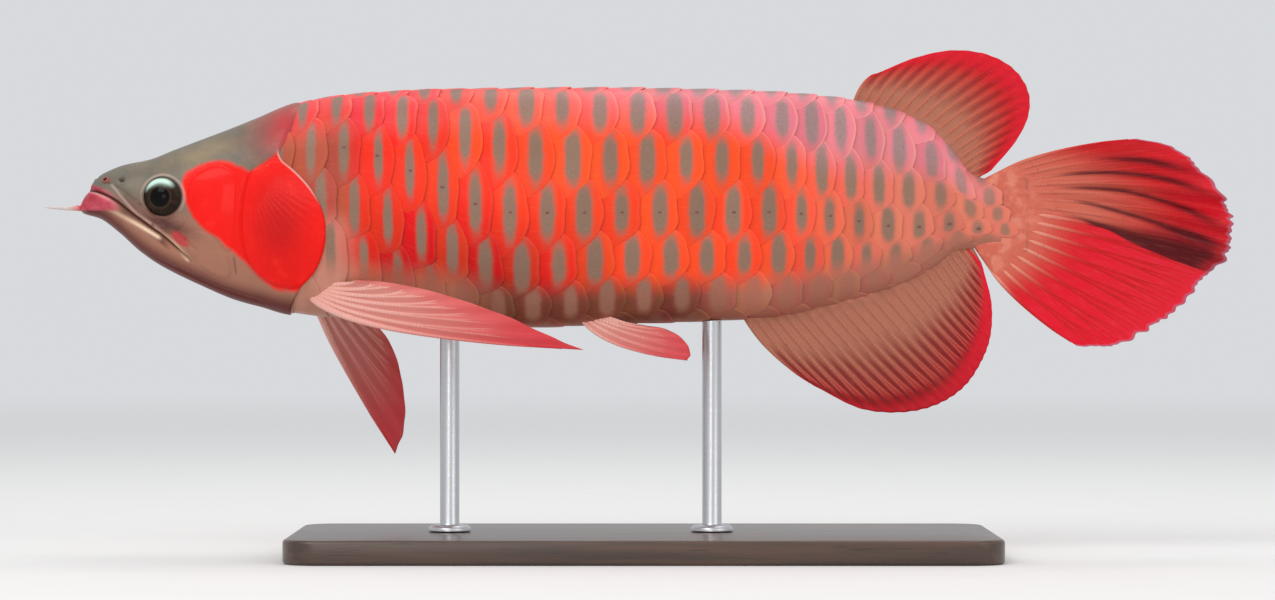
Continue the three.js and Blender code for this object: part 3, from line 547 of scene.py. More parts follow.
def tube_points(line, radii, sides):
    """Rings of points round a line."""
    line = np.asarray(line, float)
    tangents = np.gradient(line, axis=0)
    tangents /= np.linalg.norm(tangents, axis=1, keepdims=True)
    up = np.array([0.0, 0.0, 1.0])
    across = np.cross(up, tangents)
    across /= np.linalg.norm(across, axis=1, keepdims=True)
    over = np.cross(tangents, across)
    angles = np.linspace(0, 2 * math.pi, sides, endpoint=False)
    rings = (line[:, None] + radii[:, None, None] * (across[:, None] * np.cos(angles)[None, :, None]
                                                      + over[:, None] * np.sin(angles)[None, :, None]))
    return rings.reshape(-1, 3)


# Shader maths
class Field:
    """A number in a material: arithmetic on it adds Math nodes."""

    def __init__(self, paint, socket):
        self.paint = paint
        self.socket = socket

    def math(self, operation, *others):
        return self.paint.node("ShaderNodeMath", {"operation": operation}, dict(enumerate((self, *others))))

    def __add__(self, other):
        return self.math("ADD", other)

    def __sub__(self, other):
        return self.math("SUBTRACT", other)

    def __rsub__(self, other):
        return self.paint.node("ShaderNodeMath", {"operation": "SUBTRACT"}, {0: other, 1: self})

    def __mul__(self, other):
        return self.math("MULTIPLY", other)

    def __truediv__(self, other):
        return self.math("DIVIDE", other)

    def __pow__(self, other):
        return self.math("POWER", other)

    __radd__ = __add__
    __rmul__ = __mul__

    def clamped(self):
        return self.paint.node("ShaderNodeClamp", {}, {0: self})

    def step(self, low, high):
        """0 at low and 1 at high, smooth between; low may be the greater."""
        flip = low > high
        result = self.paint.node("ShaderNodeMapRange", {"interpolation_type": "SMOOTHSTEP"},
                                 {0: self, 1: min(low, high), 2: max(low, high)})
        return 1 - result if flip else result


class Paint:
    """A material under construction."""

    def __init__(self, name):
        self.material = bpy.data.materials.new(name)
        self.material.use_nodes = True
        self.tree = self.material.node_tree
        self.tree.nodes.clear()

    def node(self, kind, settings, inputs, output=0):
        """A node of any kind: its settings first, then the values or links of its sockets."""
        node = self.tree.nodes.new(kind)
        for name, value in settings.items():
            setattr(node, name, value)
        for key, value in inputs.items():
            socket = node.inputs[key]
            if isinstance(value, Field):
                self.tree.links.new(value.socket, socket)
            elif hasattr(value, "__len__"):
                value = tuple(value)
                socket.default_value = value if len(socket.default_value) == len(value) else (*value, 1.0)
            else:
                socket.default_value = value
        return Field(self, node.outputs[output])

    def field(self, name):
        """A number stored on the mesh's points."""
        return self.node("ShaderNodeAttribute", {"attribute_name": name}, {}, "Fac")

    def tint(self, name):
        """A colour stored on the mesh's points."""
        return self.node("ShaderNodeAttribute", {"attribute_name": name}, {}, "Color")

    def position(self):
        return self.node("ShaderNodeTexCoord", {}, {}, "Object")

    def uv(self, name):
        """The two numbers of a UV map."""
        both = self.node("ShaderNodeUVMap", {"uv_map": name}, {})
        return (self.node("ShaderNodeSeparateXYZ", {}, {0: both}, 0),
                self.node("ShaderNodeSeparateXYZ", {}, {0: both}, 1))

    def vector(self, x, y, z):
        return self.node("ShaderNodeCombineXYZ", {}, {0: x, 1: y, 2: z})

    def stretched(self, vector, scale):
        return self.node("ShaderNodeMapping", {}, {"Vector": vector, "Scale": scale})

    def noise(self, vector, scale, detail=3.0, roughness=0.55):
        return self.node("ShaderNodeTexNoise", {}, {"Vector": vector, "Scale": scale, "Detail": detail,
                                                    "Roughness": roughness}, 0)

    def cells(self, vector, scale):
        return self.node("ShaderNodeTexVoronoi", {}, {"Vector": vector, "Scale": scale}, 0)

    def mix(self, factor, first, second, blend="MIX"):
        return self.node("ShaderNodeMix", {"data_type": "RGBA", "blend_type": blend, "clamp_factor": True},
                         {0: factor, 6: first, 7: second}, 2)

    def layers(self, colour, *layers):
        """A colour under layers, each a factor and a tint."""
        for factor, tint in layers:
            colour = self.mix(factor, colour, tint)
        return colour

    def raised(self, height, distance, strength=1.0, under=None):
        """A normal from a height; under is another such normal."""
        inputs = {"Height": height, "Distance": distance, "Strength": strength}
        if under is not None:
            inputs["Normal"] = under
        return self.node("ShaderNodeBump", {}, inputs)

    def surface(self, **inputs):
        """The finished surface; names of sockets have _ for a space."""
        sockets = {name.replace("_", " "): value for name, value in inputs.items()}
        return self.finished(self.node("ShaderNodeBsdfPrincipled", {}, sockets))

    def finished(self, shader):
        """The material, with a shader as its surface."""
        output = self.tree.nodes.new("ShaderNodeOutputMaterial")
        self.tree.links.new(shader.socket, output.inputs["Surface"])
        return self.material


# Materials
def skin_material(settings):
    """Wet skin of the head: olive crown, red cheeks and gill covers, pink lips and pale jaw, with painted
    shade under the head, under the eye and in its slits and hollows.
    """
    light_lip, deep_red, orange_red = (0.60, 0.085, 0.140), (0.56, 0.002, 0.001), (0.95, 0.045, 0.02)
    # crease is the near-black of painted shade in slits and hollows, and of the cheek's dark suture
    pale_edge, crease, freckle = (0.86, 0.62, 0.56), (0.05, 0.010, 0.010), (0.05, 0.05, 0.04)
    paint = Paint("arowana skin")
    place = paint.position()
    blotch = paint.noise(place, 110.0, 4.0)
    fine = paint.noise(place, 900.0, 3.0)
    speck = paint.cells(place, 1500.0)
    mask = paint.field
    lip = paint.mix(blotch.step(0.35, 0.65), settings.lip, light_lip)
    cheek = paint.layers(settings.gill_red, (mask("shade"), deep_red),
                         (blotch.step(0.55, 0.8) * 0.35, orange_red))
    ragged = mask("red") + (blotch - 0.5) * 4.0 + (fine - 0.5) * 0.8
    colour = paint.layers(
        paint.mix(blotch.step(0.3, 0.75), settings.crown, settings.crown_warm),
        (mask("tan") * (0.5 + blotch), settings.tan),
        (mask("lower"), settings.flank),
        # Painted shade on the head's underside
        (mask("under"), settings.throat),
        # Painted shade under the eye, and darker bands beside the mouth line
        (mask("dusk") * (0.55 + blotch * 0.6), settings.dusk),
        (mask("blush") * (0.6 + blotch * 0.5), settings.blush),
        (mask("tail"), settings.tail),
        (mask("jaw"), settings.jaw),
        (mask("lip") * (0.70 + blotch * 0.4), lip),
        (ragged.step(-1.4, 1.1), cheek),
        (mask("pale"), pale_edge),
        # Painted shade in slits and hollows, and the cheek's dark suture line
        (mask("dark") * 0.85, crease))
    mottle = paint.mix(blotch, (0.88, 0.88, 0.88), (1.12, 1.10, 1.08))
    colour = paint.mix(0.8, colour, mottle, "MULTIPLY")
    freckles = (1 - speck).step(0.55, 1.0) * 0.14 * (1 - mask("lower"))
    colour = paint.mix(freckles, colour, freckle)
    wrinkle = paint.noise(paint.stretched(place, (260.0, 260.0, 620.0)), 1.0, 3.0)
    normal = paint.raised(wrinkle, 0.0007, 0.30)
    normal = paint.raised(fine, 0.00022, 0.45, normal)
    normal = paint.raised(speck, 0.00010, 0.40, normal)
    return paint.surface(Base_Color=colour, Roughness=0.36 + fine * 0.16, Coat_Weight=0.12,
                         Coat_Roughness=0.12, Normal=normal, Specular_IOR_Level=0.14)


def scale_material(settings):
    """A scale: olive-grey core and vivid red to orange rim, with fine striae under a wet gloss."""
    light_striae, edge_highlight_tint = (1.0, 0.30, 0.16), (1.0, 0.46, 0.36)
    ochre, shade = (0.36, 0.27, 0.18), (0.16, 0.010, 0.006)
    squareness = 2.6
    paint = Paint("arowana scales")
    across, along = paint.uv("scale_map")
    t = (across - 0.5) * 2.0
    place = paint.position()
    wander = (paint.noise(place, 320.0, 3.0) - 0.5) * 0.5 + paint.field("core_size")
    sideways = (t / settings.core_height).math("ABSOLUTE")
    lengthways = ((along - paint.field("core_at")) / paint.field("core_wide")).math("ABSOLUTE")
    oval = (sideways ** squareness + lengthways ** squareness) ** (1 / squareness) + wander
    core = oval.step(1.38, 0.66) * paint.field("core_share")
    striae = paint.noise(paint.vector(t * 26.0, along * 1.4, 0.0), 1.0, 2.0)
    rings = paint.noise(paint.vector(t * 2.0, oval * 24.0, 0.0), 1.0, 1.0)
    fleck = paint.noise(place, 1400.0, 2.0)
    rim = paint.mix(oval.step(1.8, 1.1), paint.tint("rim_tint"), paint.tint("inner_tint"))
    rim = paint.mix((striae - 0.55) * 0.5, rim, light_striae, "SCREEN")
    middle = paint.layers(paint.tint("core_tint"), (fleck.step(0.35, 0.75) * 0.5, settings.core),
                          (rings.step(0.45, 0.8) * 0.3, ochre))
    # Painted highlight: a paler rim along each scale's rear edge
    colour = paint.layers(rim, (core, middle), (paint.field("edge_light"), edge_highlight_tint),
                          # Painted shade on the part of a scale that lies under the scale before it
                          (paint.field("tuck"), shade))
    normal = paint.raised(striae, 0.0003, 0.30)
    normal = paint.raised(rings, 0.00022, 0.25, normal)
    return paint.surface(Base_Color=colour, Roughness=0.40 + fleck * 0.14, Coat_Weight=0.10,
                         Coat_Roughness=0.18, Normal=normal, Specular_IOR_Level=0.14)


def fin_web_material(name, near, far, settings, rays, groove):
    """A fin's membrane: near colour at the body, far colour at the margin, dark grooves between the rays."""
    # streak is the near-black of the painted shade in the tail fin's folds
    streak, light_flesh, light_ray = (0.045, 0.001, 0.003), (0.74, 0.26, 0.18), (1.0, 0.26, 0.22)
    paint = Paint(name)
    ray, out = paint.uv("fin_map")
    place = paint.position()
    blotch = paint.noise(place, 60.0, 3.0)
    fray = paint.noise(paint.vector(ray * 0.6 * rays, out * 2.0, 0.0), 1.0, 3.0)
    fine = paint.noise(paint.vector(ray * rays * 7.0, out * 12.0, 0.0), 1.0, 2.0)
    start, end, amount = groove
    redness = (paint.field("redness") + (fray - 0.5) * 0.30 + (blotch - 0.5) * 0.20).clamped()
    depth = (out + (fray - 0.5) * 0.3).step(start, end) * paint.field("between")
    patches = paint.mix(paint.noise(place, 190.0, 2.0).step(0.42, 0.66) * 0.7, near, light_flesh)
    colour = paint.layers(
        near,
        (redness, far),
        (depth * amount, settings.dark),
        (paint.field("glow") * (0.75 + fray * 0.5), settings.crimson),
        # Painted shade in the tail fin's folds
        (paint.field("streak"), streak),
        (paint.field("flesh"), patches),
        (paint.field("rim") * 0.7, settings.rim))
    colour = paint.mix((fine - 0.5) * 0.25, colour, light_ray, "SCREEN")
    return paint.surface(Base_Color=colour, Roughness=0.44 + fine * 0.14, Coat_Weight=0.08,
                         Coat_Roughness=0.22, Normal=paint.raised(fine, 0.0003, 0.35),
                         Specular_IOR_Level=0.12)


def fin_ray_material(name, near, far):
    """A fin's rays: jointed, a little paler than the web near the body and red at the tips."""
    # streak is the near-black of the painted shade in the tail fin's folds, on its rays too
    light, joint_red, streak = (0.86, 0.40, 0.30), (0.30, 0.03, 0.02), (0.06, 0.001, 0.004)
    paint = Paint(name)
    joint = (paint.field("ray_joint") * (2 * math.pi)).math("SINE")
    fine = paint.noise(paint.position(), 900.0, 2.0)
    redness = (paint.field("redness") + (fine - 0.5) * 0.2).clamped()
    colour = paint.layers(near, (redness, far), (paint.field("light"), light),
                          (joint.step(0.6, 1.0) * 0.12, joint_red), (paint.field("streak"), streak))
    return paint.surface(Base_Color=colour, Roughness=0.42 + fine * 0.12, Coat_Weight=0.08,
                         Coat_Roughness=0.2, Normal=paint.raised(joint, 0.0002, 0.4),
                         Specular_IOR_Level=0.12)


def eye_material(settings):
    """A wet eye: black pupil, streaked brown iris, and a painted highlight as a pale arc over it."""
    light_iris, black = (0.034, 0.017, 0.010), (0.002, 0.002, 0.002)
    rim_brown, socket = (0.16, 0.09, 0.04), (0.05, 0.035, 0.028)
    paint = Paint("arowana eye")
    turn, out = paint.uv("eye_map")
    streak = paint.noise(paint.vector(turn * 60.0, out * 2.0, 0.0), 1.0, 3.0)
    iris = paint.mix(streak.step(0.3, 0.7), settings.iris, light_iris)
    colour = paint.layers(iris, (paint.field("pupil"), black), (paint.field("pupil_rim") * 0.22, rim_brown),
                          (paint.field("arc"), settings.ring), (paint.field("edge"), socket))
    return paint.surface(Base_Color=colour, Roughness=0.32 + streak * 0.1, Coat_Weight=0.35,
                         Coat_Roughness=0.03, Coat_IOR=1.30, Specular_IOR_Level=0.02)


def feeler_material():
    """The barbels: pale pink-grey, redder at the root."""
    root_red, tip_grey = (0.62, 0.09, 0.10), (0.58, 0.50, 0.46)
    paint = Paint("arowana barbels")
    fine = paint.noise(paint.position(), 700.0, 2.0)
    colour = paint.mix(paint.field("ray_out").step(0.0, 0.45), root_red, tip_grey)
    return paint.surface(Base_Color=colour, Roughness=0.3 + fine * 0.2, Coat_Weight=0.5, Coat_Roughness=0.15,
                         Normal=paint.raised(fine, 0.0002, 0.4))


def pore_material():
    """Dark openings of the side line."""
    paint = Paint("arowana side line")
    fine = paint.noise(paint.position(), 1200.0, 2.0)
    colour = paint.mix(fine, (0.12, 0.045, 0.032), (0.20, 0.085, 0.060))
    return paint.surface(Base_Color=colour, Roughness=0.4 + fine * 0.1)


def wood_material(settings):
    """Dark stained wood with long grain and pores under a satin lacquer."""
    pore_brown = (0.012, 0.007, 0.005)
    paint = Paint("stained wood")
    place = paint.position()
    warp = paint.noise(paint.stretched(place, (3.0, 14.0, 14.0)), 1.0, 3.0)
    grain = paint.noise(paint.stretched(place, (9.0, 150.0, 150.0)), 1.0, 6.0, 0.62)
    pores = paint.noise(paint.stretched(place, (60.0, 1300.0, 1300.0)), 1.0, 2.0)
    light = (grain * 0.7 + warp * 0.45 - 0.1).step(0.3, 0.7)
    colour = paint.layers(settings.dark_wood, (light, settings.light_wood),
                          (pores.step(0.60, 0.72) * 0.6, pore_brown))
    normal = paint.raised(pores.step(0.72, 0.60), 0.00025, 0.35)
    return paint.surface(Base_Color=colour, Roughness=0.30 + grain * 0.2, Coat_Weight=0.35,
                         Coat_Roughness=0.2, Normal=normal)


def steel_material(settings):
    """Brushed steel, with fine rings from turning."""
    paint = Paint("brushed steel")
    place = paint.position()
    brush = paint.noise(paint.stretched(place, (20.0, 20.0, 5200.0)), 1.0, 3.0)
    smudge = paint.noise(place, 60.0, 3.0)
    colour = paint.mix(brush * 0.5, settings.steel, (0.42, 0.43, 0.45))
    return paint.surface(Base_Color=colour, Metallic=1.0, Roughness=0.24 + brush * 0.14 + smudge * 0.08,
                         Normal=paint.raised(brush, 0.00006, 0.3))


# Pieces
EYE = {"s": 36.0, "h": 2.9, "radius": 9.0, "depth": 5.5, "sunk": 3.3, "yaw": 0.19, "cornea": 0.55}
FAR_FROM_RED = -9.0
HEAD_END = 104.0
SKIN_END = 392.5
SNOUT_ROUNDING = 1.8
SNOUT_START = 0.12
HEAD_STATIONS = 216
TRUNK_STATIONS = 60
SKIN_ROUND = 148


def jaw_stripes(s, h):
    """The two pale stripes of the jaw bones, partly their own colour and partly a painted highlight along the
    lower jaw's rim, which grow brighter towards their rear ends.
    """
    stripes = np.zeros(s.shape)
    for line, width, least, dim, bright in ((JAW_STRIPE, 0.85, 0.35, 0.1, 0.75),
                                            (MAXILLA_STRIPE, 0.75, 0.25, 0.3, 0.85)):
        gap, along = line_distance(s, h, rounded_line(line, 2))
        light = blend(least, 1, smoothstep(dim, bright, along)) * smoothstep(1.0, 0.90, along)
        stripes = np.maximum(stripes, bump(gap, width) * light)
    return stripes


def head_places(s, h):
    """Where points lie among the lines of the head, in millimetres; head is 1 on it and 0 on the trunk."""
    gill, _ = line_distance(s, h, rounded_line(GILL_LINE))
    over_mouth, along_mouth = line_distance(s, h, rounded_line(MOUTH_LINE, 2))
    nape_blend = 7.5 * smoothstep(19, 26, h)
    return SimpleNamespace(
        s=s, h=h, ahead=-gill, head=smoothstep(-0.5 - nape_blend, 0.3, -gill),
        over=over_mouth, fade=smoothstep(1.0, 0.93, along_mouth),
        eye=np.hypot(s - EYE["s"], h - EYE["h"]),
        nostril=np.hypot((s - NOSTRIL[0]) / 1.25, h - NOSTRIL[1]),
        stripes=jaw_stripes(s, h))


def gill_relief(at, settings):
    """The nape's shoulder, the gill cover with its fan of fine striae, and the scales' bed behind them."""
    nape = 1.25 * smoothstep(14, 0.5, at.ahead)
    cover = inside_depth(at.s, at.h, rounded_outline(GILL_COVER, 2))
    behind, over = at.s - GILL_HINGE[0], at.h - GILL_HINGE[1]
    fan = smoothstep(6, 16, np.hypot(behind, over)) * smoothstep(0.5, 4, cover)
    striae = 0.06 * np.sin(np.arctan2(over, behind) * 62) * fan
    swell = 0.405 * smoothstep(0, 9, cover)
    raised = smoothstep(-0.15, 0.55, cover) * (settings.gill_rise - nape + swell + striae)
    return at.head * (nape + raised - 0.55 * bump(cover, 0.55)) - (1 - at.head) * settings.scale_bed


def plate_relief(at):
    """The cheek plate, the lower cheek and the fold under the eye, each in a shallow groove."""
    cheek, low, under = (inside_depth(at.s, at.h, rounded_outline(outline, 2))
                         for outline in (CHEEK_PLATE, LOWER_CHEEK, UNDER_EYE))
    lift = 0.35 * smoothstep(-0.4, 1.0, cheek) + 0.35 * smoothstep(0, 7, cheek) - 0.20 * bump(cheek, 0.5)
    lift += 0.40 * smoothstep(-0.2, 0.8, low) - 0.25 * bump(low, 0.5)
    return lift + 0.35 * smoothstep(-0.2, 0.6, under) - 0.2 * bump(under, 0.4)


def mouth_relief(at):
    """The mouth's slit, the upper jaw's band, the lower lip, the jaw bones and the throat's folds."""
    s, h, over, fade = at.s, at.h, at.over, at.fade
    lift = -1.5 * bump(over, 0.42) * fade
    lift += 0.75 * window(over, 0.3, 1.0, 4.2, 5.0) * smoothstep(51.5, 49, s - over * 0.6) * fade
    lift -= 0.35 * bump(over - 5.0, 0.45) * smoothstep(10, 16, s) * fade
    lift += bump(over + 2.6, 1.8) * smoothstep(34, 20, s)
    jaw_gap, jaw_along = line_distance(s, h, rounded_line(JAW_BAND, 2))
    lift += 0.5 * bump(jaw_gap, 2.4) * smoothstep(1.0, 0.8, jaw_along) * (over < -0.4)
    for fold in GULAR_FOLDS:
        fold_gap, fold_along = line_distance(s, h, rounded_line(fold, 2))
        lift -= 0.45 * bump(fold_gap, 0.5) * np.sin(math.pi * np.clip(fold_along, 0, 1)) ** 0.5
    return lift + 0.30 * at.stripes


def opening_relief(at):
    """The eye's socket and its raised rim, the rear nostril, and the row of pores over the eye."""
    lift = 0.40 * bump(at.eye - 8.9, 0.8) - 5.0 * smoothstep(8.0, 6.4, at.eye)
    lift += 0.25 * bump(at.nostril - 1.9, 0.6) - 1.3 * bump(at.nostril, 0.85)
    pores = np.hypot((at.s - 27) % 7.0 - 3.5, at.h - 14.2 - 0.12 * (at.s - 30))
    return lift - 0.30 * bump(pores, 0.45) * (at.s > 22) * (at.s < 62)


def patch(at, place, reach, slope=0.0):
    """A soft oval of colour about a place, with its half length and half height."""
    along = at.s - place[0]
    return bump(np.hypot(along / reach[0], (at.h - place[1] - slope * along) / reach[1]), 1.0)


def head_masks(at):
    """How strongly each colour shows, from 0 to 1; red is a depth inside its outline in millimetres."""
    s, h, over = at.s, at.h, at.over
    red = inside_depth(s, h, rounded_outline(RED_AREA, 2))
    across, up = s - BLUSH_SPOT[0], h - BLUSH_SPOT[1]
    spot = np.hypot((across * 0.80 - up * 0.60) / 4.6, (across * 0.60 + up * 0.80) / 2.3)
    top_gap, _ = line_distance(s, h, rounded_line(MAXILLA_TOP, 2))
    masks = {
        "blush": 0.8 * patch(at, (88, 27), (13, 10.4)) + 0.45 * bump(h - 36, 9) * smoothstep(64, 90, s)
        + 0.95 * smoothstep(1.2, 0.6, spot),
        "shade": patch(at, (84, -9), (11, 16.5)),
        "tan": 0.8 * patch(at, (52, 20.5), (10.8, 4.5), 0.3),
        # Painted shade under the eye, and darker bands just under and over the mouth line
        "dusk": 0.95 * patch(at, (40, -9), (9.5, 3.4), -0.35)
        + 0.8 * window(over, -3.4, -2.2, -1.2, 0.0) * window(s, 15, 21, 35, 40)
        + 0.45 * bump(over - 3.0, 2.6) * window(s, 14, 22, 34, 42),
        "lower": smoothstep(4, -9, h + 0.16 * (s - 36)) * smoothstep(-6, 12, s),
        "tail": smoothstep(320, 360, s),
        # Painted shade: darker towards the head's underside
        "under": smoothstep(9.5, 2.0, h - belly_at(s)) * smoothstep(-1.6, -2.6, h)
        * window(s, -3, 5, 98, 112),
        # Jaw stripes, partly a painted highlight along the lower jaw's rim
        "jaw": 0.95 * at.stripes,
        "lip": np.maximum(smoothstep(0.1, -0.5, over) * smoothstep(20, 13, s) * smoothstep(-3.0, -1.7, h),
                          bump(over - 0.9, 0.8) * smoothstep(20, 8, s)),
        "pale": np.maximum(0.75 * bump(at.ahead - 0.4, 0.35) * window(h, -2, 8, 18, 23),
                           0.30 * bump(at.eye - 9.1, 0.5) * smoothstep(-4, 6, h + 0.4 * (s - 36)))
        + 0.30 * bump(top_gap, 0.5) + 0.75 * patch(at, (95.5, -36), (2.4, 1.714))
        + 0.40 * bump(over + 0.9, 0.5) * smoothstep(18, 11, s),
        # Painted shade in the mouth's slit, the rear nostril, the eye's socket and the skin seen between the
        # scales; a darker zone below and behind the eye; and the cheek's dark suture line
        "dark": bump(over, 0.42) * at.fade + bump(at.nostril, 0.8) + smoothstep(8.6, 7.2, at.eye)
        + (1 - at.head) * 0.35 * smoothstep(350, 320, s)
        + 0.6 * bump(at.eye - 8.6, 1.0) * smoothstep(0, -7, h) * smoothstep(32, 40, s)
        + 0.6 * bump(s - 65.6 + 0.1 * (h + 25), 0.4) * window(h, -29.5, -27.5, -22.5, -20.5),
    }
    masks = {name: np.clip(mask, 0, 1) for name, mask in masks.items()}
    masks["red"] = blend(FAR_FROM_RED, red, at.head)
    return masks


def build_skin(settings):
    """One skin over head and trunk: fine on the head, plain under the scales."""
    stations = np.concatenate([np.linspace(0.0, HEAD_END, HEAD_STATIONS, endpoint=False),
                               np.linspace(HEAD_END, SKIN_END, TRUNK_STATIONS)])
    stations[:3] = (0.0, 0.3, 0.8)
    s, share = np.meshgrid(stations, np.linspace(0, 1, SKIN_ROUND), indexing="ij")
    angle = angle_at(s, share)
    _, h = section_point(s, angle, 0.0)
    at = head_places(s, h)
    lift = gill_relief(at, settings) + plate_relief(at) + mouth_relief(at) + opening_relief(at)
    y, h = section_point(s, angle, lift * smoothstep(-1.5, 2.5, s))
    ahead = np.clip(1 - (s + SNOUT_START) / SNOUT_ROUNDING, 0.0, 1.0)
    snout = np.sqrt(1 - ahead ** 2)
    centre = h.mean(axis=1, keepdims=True)
    y, h = y * snout, centre + (h - centre) * snout
    left = np.stack([s, -y, h], -1)
    right = np.stack([s, y, h], -1)[:, -2:0:-1]
    rings = np.concatenate([left, right], axis=1)
    fields = {name: np.concatenate([mask, mask[:, -2:0:-1]], axis=1).ravel()
              for name, mask in head_masks(at).items()}
    faces = ring_faces(len(stations), rings.shape[1])
    skin = add_mesh("fish_skin", placed(rings).reshape(-1, 3), faces, skin_material(settings), fields=fields)
    turn_outwards(skin)
    return skin


# A scale's grid, across it and from its root to its rear edge, and its thickness at root and edge
SCALE_ACROSS, SCALE_ALONG = np.meshgrid(
    np.linspace(-0.96, 0.96, 17), np.array([0.0, 0.16, 0.32, 0.46, 0.58, 0.69, 0.79, 0.87, 0.93, 0.97, 1.0]),
    indexing="ij")
SCALE_THIN = 0.35
SCALE_EDGE = 0.44

# Where the scales begin behind the gill line, and where the upper and the low rows end
BEHIND_GILL = 0.8
SCALE_TAIL_END = 389.0
LOW_ROWS_END = 373.0

# Colours of the scales' rims and cores over the body
RED_RIM = np.array([0.86, 0.008, 0.002])
DARK_RED_RIM = np.array([0.54, 0.005, 0.002])
ORANGE_RIM = np.array([0.95, 0.060, 0.010])
# Painted sheen: pink-lilac rims on the upper rows paint the lamp's reflection on the back
PAINTED_SHEEN_RIM = np.array([0.72, 0.19, 0.24])
SALMON_RIM = np.array([0.70, 0.175, 0.115])
BELLY_TAN = np.array([0.42, 0.150, 0.100])
BREAST_TAN = np.array([0.56, 0.200, 0.125])
BELLY_BROWN = np.array([0.120, 0.026, 0.018])
NECK_OLIVE = np.array([0.24, 0.095, 0.055])
NECK_TAN = np.array([0.50, 0.26, 0.19])
CORE_GREY = np.array([0.265, 0.150, 0.105])
# Painted sheen: mauve cores on the upper rows paint the lamp's reflection on the back
PAINTED_SHEEN_CORE = np.array([0.36, 0.215, 0.225])


class Lattice:
    """Places scales along the body: a count of scale lengths back from a mark, and rows round it."""

    def __init__(self):
        step = 0.5
        stations = np.arange(40.0, 396.0, step)
        counts = np.concatenate([[0], np.cumsum(step / pitch_at((stations[:-1] + stations[1:]) / 2))])
        self.stations = stations
        self.counts = counts - np.interp(SCALE_MARK, stations, counts)

    def station(self, count):
        return np.interp(count, self.counts, self.stations)

    def share(self, s, row):
        """The share of the way round at a row number that need not be whole."""
        row = np.clip(row, 0, LAST_ROW)
        low = np.minimum(row.astype(int), LAST_ROW - 1)
        lines = np.array([line(s) for line in row_lines])
        first = np.take_along_axis(lines, low[None], 0)[0]
        second = np.take_along_axis(lines, low[None] + 1, 0)[0]
        return blend(first, second, row - low)


def body_tints(s, share):
    """Rim and core colours over the body, the share of pink sheen painted on the back, and how strongly the
    cores show.
    """
    s, share = s[..., None], share[..., None]
    rim = blend(RED_RIM, ORANGE_RIM, smoothstep(118, 225, s + 70 * (0.5 - share)))
    rim = blend(rim, DARK_RED_RIM, smoothstep(0.45, 0.72, share) * smoothstep(235, 170, s) * 0.7)
    rim = blend(rim, SALMON_RIM, smoothstep(275, 345, s))
    # Painted sheen: high is how much pink reflection is painted on the upper rows, more towards the rear
    reach = 0.30 + 0.16 * smoothstep(260, 320, s)
    high = smoothstep(reach, reach - 0.2, share) * smoothstep(388, 355, s)
    high = high * (0.30 + 0.65 * smoothstep(170, 270, s))
    rim = blend(rim, PAINTED_SHEEN_RIM, high)
    start = 0.69 + 0.06 * smoothstep(140, 200, s)
    low = smoothstep(start, start + 0.12, share) * 0.95
    banded = window(s, 155, 180, 245, 282) * 0.85
    belly = blend(BELLY_TAN, BREAST_TAN, smoothstep(170, 140, s))
    bars = blend(belly, BELLY_BROWN, banded)
    rim = blend(rim, blend(bars, belly, smoothstep(0.93, 0.985, share)), low)
    olive = NECK_OLIVE * smoothstep(0.62, 0.5, share) + NECK_TAN * smoothstep(0.5, 0.62, share)
    rim = blend(rim, olive, smoothstep(120, 107, s) * smoothstep(0.15, 0.3, share) * 0.7)
    core = blend(blend(CORE_GREY, PAINTED_SHEEN_CORE, high), belly, 0.7 * low)
    strength = 1 - 0.8 * low * (1 - banded)
    return rim, core, high[..., 0], strength[..., 0]


def scale_places(side_name, settings, lattice):
    """The row, count and station of the middle of each scale's rear edge on one side."""
    gill_line = rounded_line(GILL_LINE)
    places = []
    for row in range(LAST_ROW + 1):
        if side_name == "right" and row in (0, LAST_ROW):
            continue
        end = LOW_ROWS_END if row >= MID_ROW + 2 else SCALE_TAIL_END
        for number in SCALE_NUMBERS:
            apex = number + (row - MID_ROW) * settings.stagger
            s = lattice.station(np.array([apex]))
            share = lattice.share(s, np.array([float(row)]))
            _, h = section_point(s, angle_at(s, share), 0.0)
            behind, _ = line_distance(s, h, gill_line)
            if behind[0] >= BEHIND_GILL and s[0] <= end:
                places.append((row, apex, s[0]))
    return places


